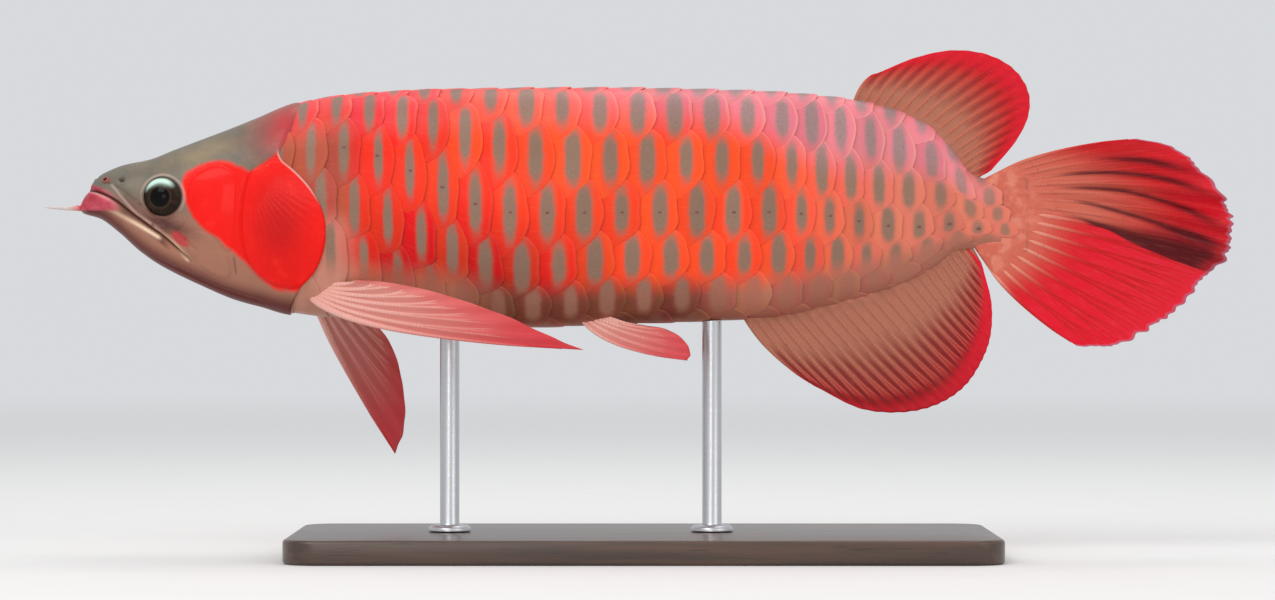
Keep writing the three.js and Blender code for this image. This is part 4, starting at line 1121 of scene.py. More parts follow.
def scale_shape(row, apex, apex_s, side, settings, lattice, rng):
    """A scale's points, outer face first, with its stations, shares of the way round, and lengths along."""
    t = SCALE_ACROSS * (1.0 + rng.uniform(-0.02, 0.02))
    ripple = 0.03 * np.sin(9 * t + rng.uniform(0, 6.3)) * (1 - t * t)
    rear = apex - settings.arc * np.abs(t) ** 3 + ripple
    root = apex - settings.arc - 0.02
    count = root + (rear - root) * SCALE_ALONG
    along = 1 + count - apex
    s = lattice.station(count)
    place = row + t
    middle_row = row in (0, LAST_ROW)
    folded = np.abs(place) if row == 0 else np.where(place > LAST_ROW, 2 * LAST_ROW - place, place)
    sign = np.where(t < 0, -1.0, 1.0) if middle_row else side
    share = lattice.share(s, folded)
    share = np.where(middle_row & (np.abs(t) < 1e-6), float(row > 0), share)
    tilt = rng.uniform(-0.05, 0.05)
    size = (smoothstep(392, 330, s) * 0.5 + 0.5) * (1 - 0.4 * smoothstep(0.66, 0.80, share))
    dome = 0.16 * np.clip(1 - (t / 0.8) ** 2, 0, 1) * np.sin(math.pi * SCALE_ALONG ** 1.5)
    droop = 0.16 * smoothstep(0.94, 1.0, SCALE_ALONG)
    lift = size * (settings.rise * along + tilt + dome - droop)
    thick = size * blend(SCALE_THIN, SCALE_EDGE, smoothstep(0.7, 1.0, SCALE_ALONG))
    angle = angle_at(s, share)
    if apex_s < 150:
        _, height = section_point(s, angle, 0.0)
        behind, _ = line_distance(s, height, rounded_line(GILL_LINE))
        lift = lift - 2.4 * smoothstep(0.5, 7.0, np.maximum(0.0, -behind))
    faces = []
    for depth in (0.0, thick):
        y, h = section_point(s, angle, lift - depth)
        faces.append(np.stack([s, sign * y, h], -1).reshape(-1, 3))
    return np.concatenate(faces), s, share, along


def scale_fields(s, share, along, settings, rng):
    """The numbers and colours that a scale carries for its material."""
    rim, core, pink, strength = body_tints(s, share)
    shade = 1 + rng.uniform(-0.10, 0.10)
    warm = np.array([0, rng.uniform(-0.03, 0.05) * 0.5, 0])
    inner = (rim * 0.86 + core * 0.14) * shade
    return {
        "core_at": np.full(s.shape, 0.50 + rng.uniform(-0.03, 0.03)),
        "core_size": np.full(s.shape, rng.uniform(-0.14, 0.14)),
        "core_wide": settings.core_width * (0.72 + 0.28 * smoothstep(120, 185, s)),
        "core_share": strength * (1 - 0.5 * smoothstep(0.90, 0.99, share) - 0.25 * smoothstep(330, 380, s)),
        # Painted highlight on each rear edge, stronger where the back's painted sheen is
        "edge_light": smoothstep(0.93, 1.0, SCALE_ALONG) * (0.05 + 0.40 * pink),
        # Painted shade where a scale lies under the scale before it
        "tuck": smoothstep(0.08, -0.10, along) * 0.22,
        "rim_tint": np.clip(rim * shade + warm, 0, 1), "core_tint": core * shade, "inner_tint": inner,
    }


def bake_cell(front, back, edge):
    """A scale's corners in a unit square: its outer face and rim, with its inner face in a strip beside."""
    flat = np.stack([SCALE_ACROSS * 0.5 + 0.5, SCALE_ALONG], -1).reshape(-1, 2)
    outer = flat * np.array([0.78, 0.90]) + np.array([0.04, 0.05])
    inner = flat * np.array([0.08, 0.90]) + np.array([0.88, 0.05])
    return np.concatenate([outer[front.ravel()], inner[back.ravel() - len(flat)],
                           outer[edge.ravel() % len(flat)]])


def build_scales(side_name, settings, cell):
    """The scales of one side, each a curved plate; the rows on the back and keel go with the left."""
    lattice = Lattice()
    rng = np.random.default_rng(settings.seed + cell)
    side = -1.0 if side_name == "left" else 1.0
    parts = slab_faces(*SCALE_ACROSS.shape)
    corners = np.concatenate(parts)
    square = bake_cell(*parts)
    places = scale_places(side_name, settings, lattice)
    per_line = math.ceil(math.sqrt(len(places)))
    points, faces, maps, bakes, fields = [], [], [], [], {}
    for index, (row, apex, apex_s) in enumerate(places):
        shape, s, share, along = scale_shape(row, apex, apex_s, side, settings, lattice, rng)
        faces.append(corners + index * len(shape))
        points.append(shape)
        local = np.stack([SCALE_ACROSS * 0.5 + 0.5, along], -1).reshape(-1, 2)
        maps.append(np.tile(local, (2, 1))[corners.ravel()])
        bakes.append((square + np.array([index % per_line, index // per_line])) / per_line)
        for name, value in scale_fields(s, share, along, settings, rng).items():
            flat = value.reshape(s.size, -1).squeeze()
            fields.setdefault(name, []).append(np.concatenate([flat, flat]))
    piece = add_mesh(f"scales_{side_name}", placed(np.concatenate(points)), np.concatenate(faces),
                     scale_material(settings),
                     loop_maps={"OFBake": np.concatenate(bakes), "scale_map": np.concatenate(maps)},
                     fields={name: np.concatenate(values) for name, values in fields.items()})
    turn_outwards(piece)
    return piece


def fin_surface(lines, t, out, pleats=False):
    """Points of a fin at shares t from the first ray to the last and out from base to margin."""
    lines = [np.array([(p[0], 0.0, p[1]) if len(p) == 2 else p for p in line], float) for line in lines]
    base, bend, margin = (catmull_rom(line, t) for line in lines)
    o = out[..., None]
    point = (base * (1 - o) + bend * o) * (1 - o) + (bend * (1 - o) + margin * o) * o
    if pleats:
        crease = tail_crease_at(out)
        upper = np.clip((crease - t) / crease, 0, 1)
        lower = np.clip((t - crease) / (1 - crease), 0, 1)
        swell = np.sin(math.pi * np.minimum(1, upper * 1.2))
        wave = PLEAT_DEPTH * np.sin(2 * math.pi * PLEATS * upper) * swell
        fold = CREASE_DEPTH * (1 - upper * 1.4) - (CREASE_DEPTH + LOBE_TURN) * lower
        point[..., 1] += out * out * (fold + wave)
    return point


def fin_part(lines, rays, glow, stout, groove=(0.1, 0.5, 0.22), root=0.8):
    """A fin: its lines and count of rays, how crimson its margin is, how stout its rays are, where the
    grooves between them begin and are full and how dark they are, and its extra thickness at the body."""
    return {"lines": lines, "rays": rays, "glow": glow, "stout": stout, "groove": groove, "root": root}


FIN_PARTS = {
    "dorsal_fin": fin_part(DORSAL, 18, 0.8, 1.15, (0.25, 0.55, 0.60), 4.5),
    "anal_fin": fin_part(ANAL, 26, 0.9, 1.25, (0.34, 0.62, 0.85), 4.5),
    "caudal_fin": fin_part(CAUDAL, 17, 0.5, 1.05, (0.40, 0.70, 0.22)),
    "pectoral_fin_left": fin_part(PECTORAL_LEFT, 7, 0.3, 1.4),
    "pectoral_fin_right": fin_part(PECTORAL_RIGHT, 7, 0.3, 1.4),
    "pelvic_fin_left": fin_part(PELVIC_LEFT, 6, 0.1, 1.0),
    "pelvic_fin_right": fin_part([[(s, -y, h) for s, y, h in line] for line in PELVIC_LEFT], 6, 0.1, 1.0),
}
TAIL_FIN = "caudal_fin"
WEB_STEPS = 60
WEB_COLUMNS_PER_RAY = 8
LEAST_WEB = 0.30


def fin_margin(t, rays, tail):
    """How far out the web reaches: a little less between the rays, and ragged on the tail."""
    if not tail:
        return 1 - 0.005 * (0.5 - 0.5 * np.cos(2 * math.pi * t * (rays - 1)))
    ragged = np.sin(t * 61 + 3 * np.sin(t * 23)) + 0.8 * np.sin(t * 149 + 4 * np.sin(t * 17))
    ragged = ragged + 0.5 * np.sin(t * 227 + 3 * np.sin(t * 41))
    return 1 - 0.0052 * (ragged + 2.3) * smoothstep(0.0, 0.12, t)


def tail_fold_shade(t, out):
    """Painted shade in the tail fin's folds: narrow dark streaks along the valleys of its upper half and a
    dark wedge of painted shadow over the crease.
    """
    streak = np.zeros(t.shape)
    for line, points in zip(tail_shaded_fold_lines, TAIL_SHADED_FOLDS):
        begins = points[0][0]
        narrow = bump(t - line(out), 0.007 + 0.013 * out)
        streak += narrow * window(out, begins - 0.04, begins + 0.16, 0.86, 1.02) * 0.95
    crease = tail_crease_at(out)
    wide = 0.016 + 0.120 * smoothstep(0.50, 0.88, out)
    wedge = smoothstep(crease - wide - 0.022, crease - wide * 0.4, t) * smoothstep(crease + 0.008, crease, t)
    wedge = wedge * smoothstep(0.36, 0.52, out) * (1 - 0.5 * smoothstep(0.93, 1.0, out))
    return np.clip(streak + wedge, 0, 1) * 0.92


def fin_redness(name, t, out, place):
    """0 where a fin has its near colour and 1 where it has its far colour."""
    if name == TAIL_FIN:
        crease = tail_crease_at(out)
        above = smoothstep(0.44, 0.86, out + 0.10 * smoothstep(0.3, 0.0, t))
        below = smoothstep(0.24, 0.56, out + 0.05 * smoothstep(0.8, 1.0, t))
        return blend(above, below, smoothstep(crease - 0.004, crease + 0.004, t))
    if name == "anal_fin":
        return smoothstep(0.42, 0.98, out + 0.10 * t)
    if name == "dorsal_fin":
        return smoothstep(0.30, 0.90, out + 0.08 * t)
    base, _, margin = FIN_PARTS[name]["lines"]
    reach = np.linalg.norm(place - np.array(base[0]), axis=-1) / math.dist(base[0], margin[0])
    return smoothstep(0.20, 1.05, reach + 0.12 * (1 - t) * smoothstep(0.0, 0.4, out))


def fin_colours(name, settings):
    """Near and far colours of a fin's web, then of its rays."""
    if name == TAIL_FIN:
        return settings.salmon, settings.red, (0.60, 0.150, 0.100), settings.red
    if name == "anal_fin":
        return settings.olive, (0.34, 0.004, 0.008), (0.44, 0.160, 0.100), (0.46, 0.040, 0.036)
    if name == "dorsal_fin":
        return settings.olive, settings.red, (0.48, 0.150, 0.090), settings.red
    return settings.pale, (0.60, 0.060, 0.070), (0.80, 0.42, 0.36), (0.62, 0.09, 0.09)


def web_thickness(part, settings, t, out, between, tail):
    """The web's thickness, more at the rays and the root than at the margin, and where it is fleshy."""
    crest = settings.ray * part["stout"] * (1 - 0.62 * out)
    thickness = blend(settings.web, crest * 0.7, (1 - between) ** 1.5)
    if tail:
        flesh = smoothstep(0.40, 0.16, out)
        thickness = blend(thickness, 2.0 + 2.4 * smoothstep(0.30, 0.10, out), flesh)
        inner = np.clip(np.minimum(t, 1 - t) / 0.05, 0, 1) ** 0.5
        thickness = thickness * (1 - flesh * 0.6 * (1 - inner))
    else:
        flesh = smoothstep(0.14, 0.02, out)
        thickness = thickness + part["root"] * smoothstep(0.22, 0.0, out) ** 2
    thickness = thickness * (1 - 0.55 * smoothstep(0.85, 1.0, out))
    return np.maximum(thickness, LEAST_WEB), flesh


def web_glow(name, part, t, out):
    """How crimson a web is."""
    glow = part["glow"] * smoothstep(0.70, 0.96, out)
    if name == TAIL_FIN:
        crease = tail_crease_at(out)
        glow = blend(glow, smoothstep(0.34, 0.62, out), smoothstep(crease - 0.002, crease + 0.004, t))
    if name == "anal_fin":
        rear = smoothstep(0.92, 1.0, t)
        glow = smoothstep(0.90 - 0.26 * t ** 2, 1.0 - 0.12 * t, out) * (0.25 + 0.75 * t) + rear
    return np.clip(glow, 0, 1)


def build_fin_web(name, part, settings):
    """A fin's membrane, thin and a little hollow between its rays."""
    rays, tail = part["rays"], name == TAIL_FIN
    columns = (rays - 1) * WEB_COLUMNS_PER_RAY * (2 if tail else 1) + 1
    out, t = np.meshgrid(np.linspace(0, 1, WEB_STEPS), np.linspace(0, 1, columns), indexing="ij")
    centre = fin_surface(part["lines"], t, out * fin_margin(t, rays, tail), tail)
    normal = np.cross(np.gradient(centre, axis=0), np.gradient(centre, axis=1))
    normal /= np.linalg.norm(normal, axis=-1, keepdims=True)
    between = 0.5 - 0.5 * np.cos(2 * math.pi * t * (rays - 1))
    thickness, flesh = web_thickness(part, settings, t, out, between, tail)
    sides = [(centre + side * normal * thickness[..., None] / 2).reshape(-1, 3) for side in (-1, 1)]
    faces = np.concatenate(slab_faces(WEB_STEPS, columns))
    flat = np.stack([t, out], -1).reshape(-1, 2)
    fields = {"between": between, "glow": web_glow(name, part, t, out), "flesh": flesh,
              # streak: painted shade in the tail fin's folds
              "streak": tail_fold_shade(t, out) * tail, "redness": fin_redness(name, t, out, centre),
              "rim": smoothstep(0.984, 0.996, out) * tail}
    near, far, _, _ = fin_colours(name, settings)
    piece = add_mesh(f"{name}_web", placed(np.concatenate(sides)), faces,
                     fin_web_material(f"{name} web", near, far, settings, rays, part["groove"]),
                     loop_maps={"fin_map": np.tile(flat, (2, 1))[faces.ravel()]},
                     fields={field: np.tile(value.ravel(), 2) for field, value in fields.items()})
    turn_outwards(piece)
    return piece


# Where a ray begins, forks and ends, as shares of the way out, and the length of its joints in millimetres
RAY_START = 0.02
FIRST_FORK = 0.36
SECOND_FORK = 0.62
RAY_END = 0.955
RAY_JOINT = 1.6


def ray_branches(index, rays):
    """The strands of one ray: a stem that splits in two and then in four; the outer rays stay whole."""
    def strand(low, high, count, side=0, twig=0):
        out = np.linspace(low, high, count)
        fork = 0.24 * side * smoothstep(FIRST_FORK, 1.0, out)
        fork = fork + 0.12 * twig * smoothstep(SECOND_FORK, 1.0, out)
        return (index + fork) / (rays - 1), out

    if index in (0, rays - 1):
        return [strand(RAY_START, RAY_END, 56)]
    strands = [strand(RAY_START, FIRST_FORK + 0.06, 22)]
    strands += [strand(FIRST_FORK, SECOND_FORK + 0.05, 18, side) for side in (-1, 1)]
    strands += [strand(SECOND_FORK, RAY_END, 20, side, twig) for side in (-1, 1) for twig in (-1, 1)]
    return strands


def start_tree(name, *inputs):
    """A Geometry Nodes tree and its input node; inputs are names, socket types and defaults."""
    tree = bpy.data.node_groups.new(name, "GeometryNodeTree")
    for label, kind, default in (("Geometry", "Geometry", None), *inputs, ("Material", "Material", None)):
        socket = tree.interface.new_socket(label, in_out="INPUT", socket_type=f"NodeSocket{kind}")
        if default is not None:
            socket.default_value = default
    tree.interface.new_socket("Geometry", in_out="OUTPUT", socket_type="NodeSocketGeometry")
    return tree, tree.nodes.new("NodeGroupInput")


def end_tree(tree, given, geometry):
    """Ends a tree: instances are made real and the material is set."""
    realize, paint = tree.nodes.new("GeometryNodeRealizeInstances"), tree.nodes.new("GeometryNodeSetMaterial")
    result, link = tree.nodes.new("NodeGroupOutput"), tree.links.new
    link(geometry, realize.inputs["Geometry"])
    link(realize.outputs["Geometry"], paint.inputs["Geometry"])
    link(given.outputs["Material"], paint.inputs["Material"])
    link(paint.outputs["Geometry"], result.inputs["Geometry"])
    return tree


def ray_tree():
    """Geometry Nodes that turn lines of points into round rays with their own thickness."""
    tree, given = start_tree("fin rays", ("Sides", "Int", 8), ("Thickness", "Float", 1.0))
    new, link = tree.nodes.new, tree.links.new
    to_curve, set_radius = new("GeometryNodeMeshToCurve"), new("GeometryNodeSetCurveRadius")
    circle, sweep = new("GeometryNodeCurvePrimitiveCircle"), new("GeometryNodeCurveToMesh")
    radius, times = new("GeometryNodeInputNamedAttribute"), new("ShaderNodeMath")
    smooth = new("GeometryNodeSetShadeSmooth")
    radius.data_type = "FLOAT"
    radius.inputs["Name"].default_value = "ray_radius"
    times.operation = "MULTIPLY"
    circle.inputs["Radius"].default_value = 1.0
    sweep.inputs["Fill Caps"].default_value = True
    link(given.outputs["Geometry"], to_curve.inputs["Mesh"])
    link(given.outputs["Sides"], circle.inputs["Resolution"])
    link(radius.outputs["Attribute"], times.inputs[0])
    link(given.outputs["Thickness"], times.inputs[1])
    link(to_curve.outputs["Curve"], set_radius.inputs["Curve"])
    link(times.outputs[0], set_radius.inputs["Radius"])
    link(set_radius.outputs["Curve"], sweep.inputs["Curve"])
    link(circle.outputs["Curve"], sweep.inputs["Profile Curve"])
    # Where the sweep has a scale of its own, the curve's radius alone doesn't size it
    if "Scale" in sweep.inputs:
        link(times.outputs[0], sweep.inputs["Scale"])
    link(sweep.outputs["Mesh"], smooth.inputs["Geometry"])
    return end_tree(tree, given, smooth.outputs["Geometry"])


def evaluated_mesh(piece):
    """A plain mesh of an object with its modifiers in it."""
    graph = bpy.context.evaluated_depsgraph_get()
    return bpy.data.meshes.new_from_object(piece.evaluated_get(graph), preserve_all_data_layers=True,
                                           depsgraph=graph)


def apply_tree(name, points, edges, fields, tree, values):
    """Runs a node tree on a mesh of points and edges and returns the result as a plain mesh object."""
    mesh = bpy.data.meshes.new(f"{name} points")
    mesh.from_pydata(points, edges, [])
    for field, numbers in fields.items():
        mesh.attributes.new(field, "FLOAT", "POINT").data.foreach_set("value", np.array(numbers, np.float32))
    source = bpy.data.objects.new(f"{name} points", mesh)
    bpy.context.scene.collection.objects.link(source)
    modifier = source.modifiers.new("nodes", "NODES")
    modifier.node_group = tree
    for item in tree.interface.items_tree:
        if item.in_out == "INPUT" and item.name in values:
            modifier[item.identifier] = values[item.name]
    result = evaluated_mesh(source)
    source.modifiers.remove(modifier)
    bpy.data.objects.remove(source)
    if not result.polygons:
        raise RuntimeError(f"{name}: the node tree gave no faces")
    piece = bpy.data.objects.new(name, result)
    bpy.context.scene.collection.objects.link(piece)
    return piece


def build_fin_rays(name, part, settings, tree):
    """A fin's rays, jointed and branched, half sunk in its web."""
    points, edges = [], []
    fields = {"ray_joint": [], "redness": [], "streak": [], "light": [], "ray_radius": []}
    tail = name == TAIL_FIN
    for index in range(part["rays"]):
        stout = part["stout"] * (1.35 if index == 0 and "pectoral" in name else 1.0)
        for t, out in ray_branches(index, part["rays"]):
            line = fin_surface(part["lines"], t, out * fin_margin(t, part["rays"], tail), tail)
            travelled = np.concatenate([[0], np.cumsum(np.linalg.norm(np.diff(line, axis=0), axis=1))])
            radius = settings.ray / 2 * stout * (1 - 0.42 * smoothstep(0.30, 0.78, out)) * (1 - 0.42 * out)
            radius = radius * (0.35 + 0.65 * smoothstep(0.96, 0.80, out))
            if tail:
                radius = radius * smoothstep(0.12, 0.36, out) + 0.15
            start = len(points)
            points += placed(line).tolist()
            edges += [(start + i, start + i + 1) for i in range(len(line) - 1)]
            values = {
                "ray_joint": travelled / RAY_JOINT, "redness": fin_redness(name, t, out, line),
                # streak: painted shade in the tail fin's folds
                "streak": tail_fold_shade(t, out) * tail, "ray_radius": radius * MM,
                "light": 0.6 * bump(out - 0.27, 0.14) * (t > tail_crease_at(out)) * tail,
            }
            for field, value in values.items():
                fields[field] += value.tolist()
    _, _, near, far = fin_colours(name, settings)
    values = {"Sides": 8, "Thickness": 1.0, "Material": fin_ray_material(f"{name} rays", near, far)}
    return apply_tree(f"{name}_rays", points, edges, fields, tree, values)


EYE_RINGS = 40
EYE_ROUND = 72
EYE_LENGTH = 0.94
BARBEL_SIDES = 14


def build_eye(side_name, settings):
    """An eyeball that bulges a little from its socket."""
    side = -1.0 if side_name == "left" else 1.0
    out, turn = np.meshgrid(np.linspace(0, 1, EYE_RINGS)[1:],
                            np.linspace(0, 2 * math.pi, EYE_ROUND, endpoint=False), indexing="ij")
    polar = out * math.pi * EYE_LENGTH
    radius, depth = EYE["radius"] * np.sin(polar), EYE["depth"] * np.cos(polar)
    cornea = EYE["cornea"] * bump(radius, 4.6) * (depth > 0)
    local = np.stack([radius * np.cos(turn), depth + cornea, radius * np.sin(turn)], -1).reshape(-1, 3)
    local = np.vstack([[0, EYE["depth"] + EYE["cornea"], 0], local])
    local[:, 1] *= side
    yaw = side * EYE["yaw"]
    x = local[:, 0] * math.cos(yaw) - local[:, 1] * math.sin(yaw)
    y = local[:, 0] * math.sin(yaw) + local[:, 1] * math.cos(yaw)
    surface = side_at(EYE["s"], EYE["h"])
    points = np.stack([EYE["s"] + x, side * (surface - EYE["sunk"]) + y, EYE["h"] + local[:, 2]], -1)
    faces = [(0, 1 + i, 1 + (i + 1) % EYE_ROUND) for i in range(EYE_ROUND)]
    faces += ring_faces(EYE_RINGS - 1, EYE_ROUND, 1, front_cap=False)

    def with_pole(values):
        return np.concatenate([[0], values.ravel()])

    behind = 20.0
    seen_radius = with_pole(radius + (depth < 0) * behind)
    up, ahead = with_pole(np.sin(turn)), with_pole(np.cos(turn))
    # Painted highlight: a pale arc round the iris, strongest at its top
    arc = bump(seen_radius - 6.75, 0.70 + 0.55 * smoothstep(0.4, 1.0, up))
    fields = {
        "pupil": smoothstep(settings.pupil + 0.25, settings.pupil - 0.15, seen_radius),
        "pupil_rim": bump(seen_radius - settings.pupil - 0.25, 0.28),
        "arc": np.clip(arc * smoothstep(0.35, 0.95, up - 0.15 * ahead) * 1.1, 0, 1),
        "edge": smoothstep(7.5, 8.1, seen_radius),
    }
    uv = np.stack([with_pole(turn / (2 * math.pi)), with_pole(out)], -1)
    piece = add_mesh(f"eyeball_{side_name}", placed(points), faces, eye_material(settings),
                     loop_maps={"eye_map": uv[np.concatenate(faces)]}, fields=fields)
    turn_outwards(piece)
    return piece


def build_barbel(side_name):
    """A thin tapering feeler at the tip of the lower jaw."""
    side = -1.0 if side_name == "left" else 1.0
    t = np.linspace(0, 1, 40)
    line = catmull_rom([(s, side * y, h) for s, y, h in BARBEL], t)
    radii = 1.05 - 0.75 * t + 0.22 * bump(t - 0.08, 0.07) + 0.02 * np.sin(t * 60)
    radii[-1] = 0.12
    piece = add_mesh(f"feeler_{side_name}", placed(tube_points(line, radii, BARBEL_SIDES)),
                     ring_faces(len(t), BARBEL_SIDES), feeler_material(),
                     fields={"ray_out": np.repeat(t, BARBEL_SIDES)})
    turn_outwards(piece)
    return piece


def build_nostrils(settings):
    """The front nostrils: short flared tubes on the snout."""
    points, faces = [], []
    profile = [(1.9, -1.6), (1.75, -0.4), (1.45, 0.6), (1.38, 1.5), (1.30, 1.9), (1.05, 1.95), (0.88, 1.7),
               (0.80, 0.9), (0.60, 0.2)]
    sides = 18
    s, h = FRONT_NOSTRIL
    for side in (-1.0, 1.0):
        base = np.array([s, side * (side_at(s, h) - 0.2), h])
        axis = np.array([-0.42, side * 0.80, 0.42])
        axis /= np.linalg.norm(axis)
        across = np.cross(axis, (0, 0, 1.0))
        across /= np.linalg.norm(across)
        over = np.cross(axis, across)
        faces += ring_faces(len(profile), sides, len(points))
        for radius, rise in profile:
            for angle in np.linspace(0, 2 * math.pi, sides, endpoint=False):
                lip = 1.0 + 0.16 * math.sin(angle) * (rise > 1)
                round_axis = math.cos(angle) * across + math.sin(angle) * over
                points.append(base + axis * rise * lip + radius * round_axis)
    levels = {"red": FAR_FROM_RED, "blush": 0.25, "lower": 0.25, "lip": 0.2, "shade": 0.0, "dusk": 0.0,
              "tail": 0.0, "tan": 0.0, "under": 0.0, "jaw": 0.0, "pale": 0.0}
    fields = {name: np.full(len(points), level) for name, level in levels.items()}
    # Painted shade inside the nostril tubes
    fields["dark"] = np.tile(np.repeat([float(radius < 0.85) for radius, _ in profile], sides), 2)
    piece = add_mesh("nostril_tubes", placed(points), faces, skin_material(settings), fields=fields)
    turn_outwards(piece)
    return piece


# The side line's pores: numbers of their scales, and the stretch of s that has them
PORE_NUMBERS = range(-9, 12)
PORES_START = 106.0
PORES_END = 372.0


def pore_tree():
    """Geometry Nodes that set a small pore on each point of the side line."""
    tree, given = start_tree("side line pores", ("Radius", "Float", 0.0006), ("Seed", "Int", 3))
    new, link = tree.nodes.new, tree.links.new
    ball, spread = new("GeometryNodeMeshUVSphere"), new("GeometryNodeInstanceOnPoints")
    vary = new("FunctionNodeRandomValue")
    vary.data_type = "FLOAT_VECTOR"
    vary.inputs[0].default_value = (1.4, 0.5, 0.8)
    vary.inputs[1].default_value = (1.9, 0.6, 1.1)
    ball.inputs["Segments"].default_value = 12
    ball.inputs["Rings"].default_value = 8
    link(given.outputs["Radius"], ball.inputs["Radius"])
    link(given.outputs["Seed"], vary.inputs["Seed"])
    link(given.outputs["Geometry"], spread.inputs["Points"])
    link(ball.outputs["Mesh"], spread.inputs["Instance"])
    link(vary.outputs[0], spread.inputs["Scale"])
    return end_tree(tree, given, spread.outputs["Instances"])


def build_side_line(settings):
    """A pore on each scale of the middle row."""
    lattice = Lattice()
    points = []
    for number in PORE_NUMBERS:
        s = lattice.station(np.array([number - 0.5]))
        share = lattice.share(s, np.array([float(MID_ROW)]))
        y, h = section_point(s, angle_at(s, share), settings.rise * 0.5 + 0.02)
        if PORES_START <= s[0] <= PORES_END:
            points += [(s[0], side * y[0], h[0]) for side in (-1.0, 1.0)]
    values = {"Radius": 0.0006, "Seed": 3, "Material": pore_material()}
    return apply_tree("side_line_pores", placed(points).tolist(), [], {}, pore_tree(), values)


# The stand, in metres
BOARD_CORNER = 0.014
ROD_RADIUS = 0.004
ROD_CLEARANCE = 0.0002
SHARP_ANGLE = math.radians(40)


def build_board(settings):
    """The stand's board, a rounded rectangle with eased edges, in its node's own size."""
    low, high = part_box("stand_base")
    steps = 12
    outline = []
    for right, back, start in ((1, 1, 0), (0, 1, 90), (0, 0, 180), (1, 0, 270)):
        cx = high[0] - BOARD_CORNER if right else low[0] + BOARD_CORNER
        cy = high[1] - BOARD_CORNER if back else low[1] + BOARD_CORNER
        for k in range(steps + 1):
            angle = math.radians(start + 90 * k / steps)
            outline.append((cx + BOARD_CORNER * math.cos(angle), cy + BOARD_CORNER * math.sin(angle)))
    points = [(x, y, z) for z in (low[2], high[2]) for x, y in outline]
    board = add_mesh("display_board", points, ring_faces(2, len(outline)), wood_material(settings),
                     smooth=False)
    bevel = board.modifiers.new("eased edges", "BEVEL")
    bevel.width = settings.bevel * MM
    bevel.segments = 4
    bevel.limit_method = "ANGLE"
    bevel.angle_limit = math.radians(50)
    mesh = evaluated_mesh(board)
    board.modifiers.clear()
    board.data = mesh
    mesh.shade_smooth()
    mesh.set_sharp_from_angle(angle=SHARP_ANGLE)
    return board


def build_rod(node, material):
    """A turned steel rod with a foot flange, cut level where it meets the belly."""
    low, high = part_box(node)
    x, y = (low[0] + high[0]) / 2, (low[1] + high[1]) / 2
    flange = (high[0] - low[0]) / 2
    top = (float(belly_at(x / MM - JAW_TIP_X)) + JAW_LEVEL_Z) * MM - ROD_CLEARANCE - low[2]
    profile = [(flange * 0.97, 0.0), (flange, 0.0003), (flange, 0.0013), (flange * 0.97, 0.0017),
               (flange * 0.86, 0.0025), (0.0043, 0.0028), (ROD_RADIUS, 0.0034), (ROD_RADIUS, top)]
    sides = 40
    turns = np.linspace(0, 2 * math.pi, sides, endpoint=False)
    points = [(x + radius * math.cos(turn), y + radius * math.sin(turn), low[2] + rise)
              for radius, rise in profile for turn in turns]
    rod = add_mesh(f"{node}_turned", points, ring_faces(len(profile), sides), material)
    rod.data.set_sharp_from_angle(angle=SHARP_ANGLE)
    turn_outwards(rod)
    return rod


def settings_of(context, name):
    """A settings group of the scene."""
    return getattr(context.scene, name)


# Widths in the photograph in pixels, and the camera's place and the stage in metres
PHOTO_WIDTH = 1275
FISH_IN_PHOTO = 1160
CAMERA_X = -0.0025
CAMERA_HEIGHT = 0.1059
LAMP_AIM = (0, 0, 0.14)
FLOOR_REACH = 30.0
SKY_FADE = (0.6, 3.2)


# Operators
class AROWANA_OT_camera(bpy.types.Operator):
    """Set the camera at the photograph's viewing angle"""
    bl_idname = "arowana.camera"
    bl_label = "Camera"

    def execute(self, context):
        stage = settings_of(context, "arowana_stage")
        frame_width = TOTAL_LENGTH * PHOTO_WIDTH / FISH_IN_PHOTO * MM
        data = bpy.data.cameras.new("camera")
        data.lens = data.sensor_width * stage.camera_distance / frame_width
        data.clip_end = 50.0
        camera = bpy.data.objects.new("camera", data)
        context.scene.collection.objects.link(camera)
        camera.location = (CAMERA_X, -stage.camera_distance, CAMERA_HEIGHT)
        camera.rotation_euler = (math.radians(90), 0, 0)
        context.scene.camera = camera
        return {"FINISHED"}


class AROWANA_OT_skin(bpy.types.Operator):
    """Make the one skin that covers head, jaw, gill covers, trunk and tail"""
    bl_idname = "arowana.skin"
    bl_label = "Skin"

    def execute(self, context):
        skin = build_skin(settings_of(context, "arowana_skin"))
        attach(skin, "root")
        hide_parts("head", "lower_jaw", "gill_cover_left", "gill_cover_right", "torso_front",
                    "torso_rear", "tail")
        nostrils = build_nostrils(settings_of(context, "arowana_skin"))
        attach(nostrils, "root")
        return {"FINISHED"}


class AROWANA_OT_scales(bpy.types.Operator):
    """Make the large overlapping scales of both sides"""
    bl_idname = "arowana.scales"
    bl_label = "Scales"

    def execute(self, context):
        settings = settings_of(context, "arowana_scales")
        for cell, side in enumerate(("left", "right")):
            scales = build_scales(side, settings, cell)
            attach(scales, "root")
        pores = build_side_line(settings)
        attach(pores, "root")
        return {"FINISHED"}


class AROWANA_OT_fins(bpy.types.Operator):
    """Make the seven fins, each a web with its jointed rays"""
    bl_idname = "arowana.fins"
    bl_label = "Fins"

    def execute(self, context):
        settings = settings_of(context, "arowana_fins")
        tree = ray_tree()
        for name, part in FIN_PARTS.items():
            web = build_fin_web(name, part, settings)
            rays = build_fin_rays(name, part, settings, tree)
            for piece in (web, rays):
                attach(piece, "root")
            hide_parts(name)
        return {"FINISHED"}


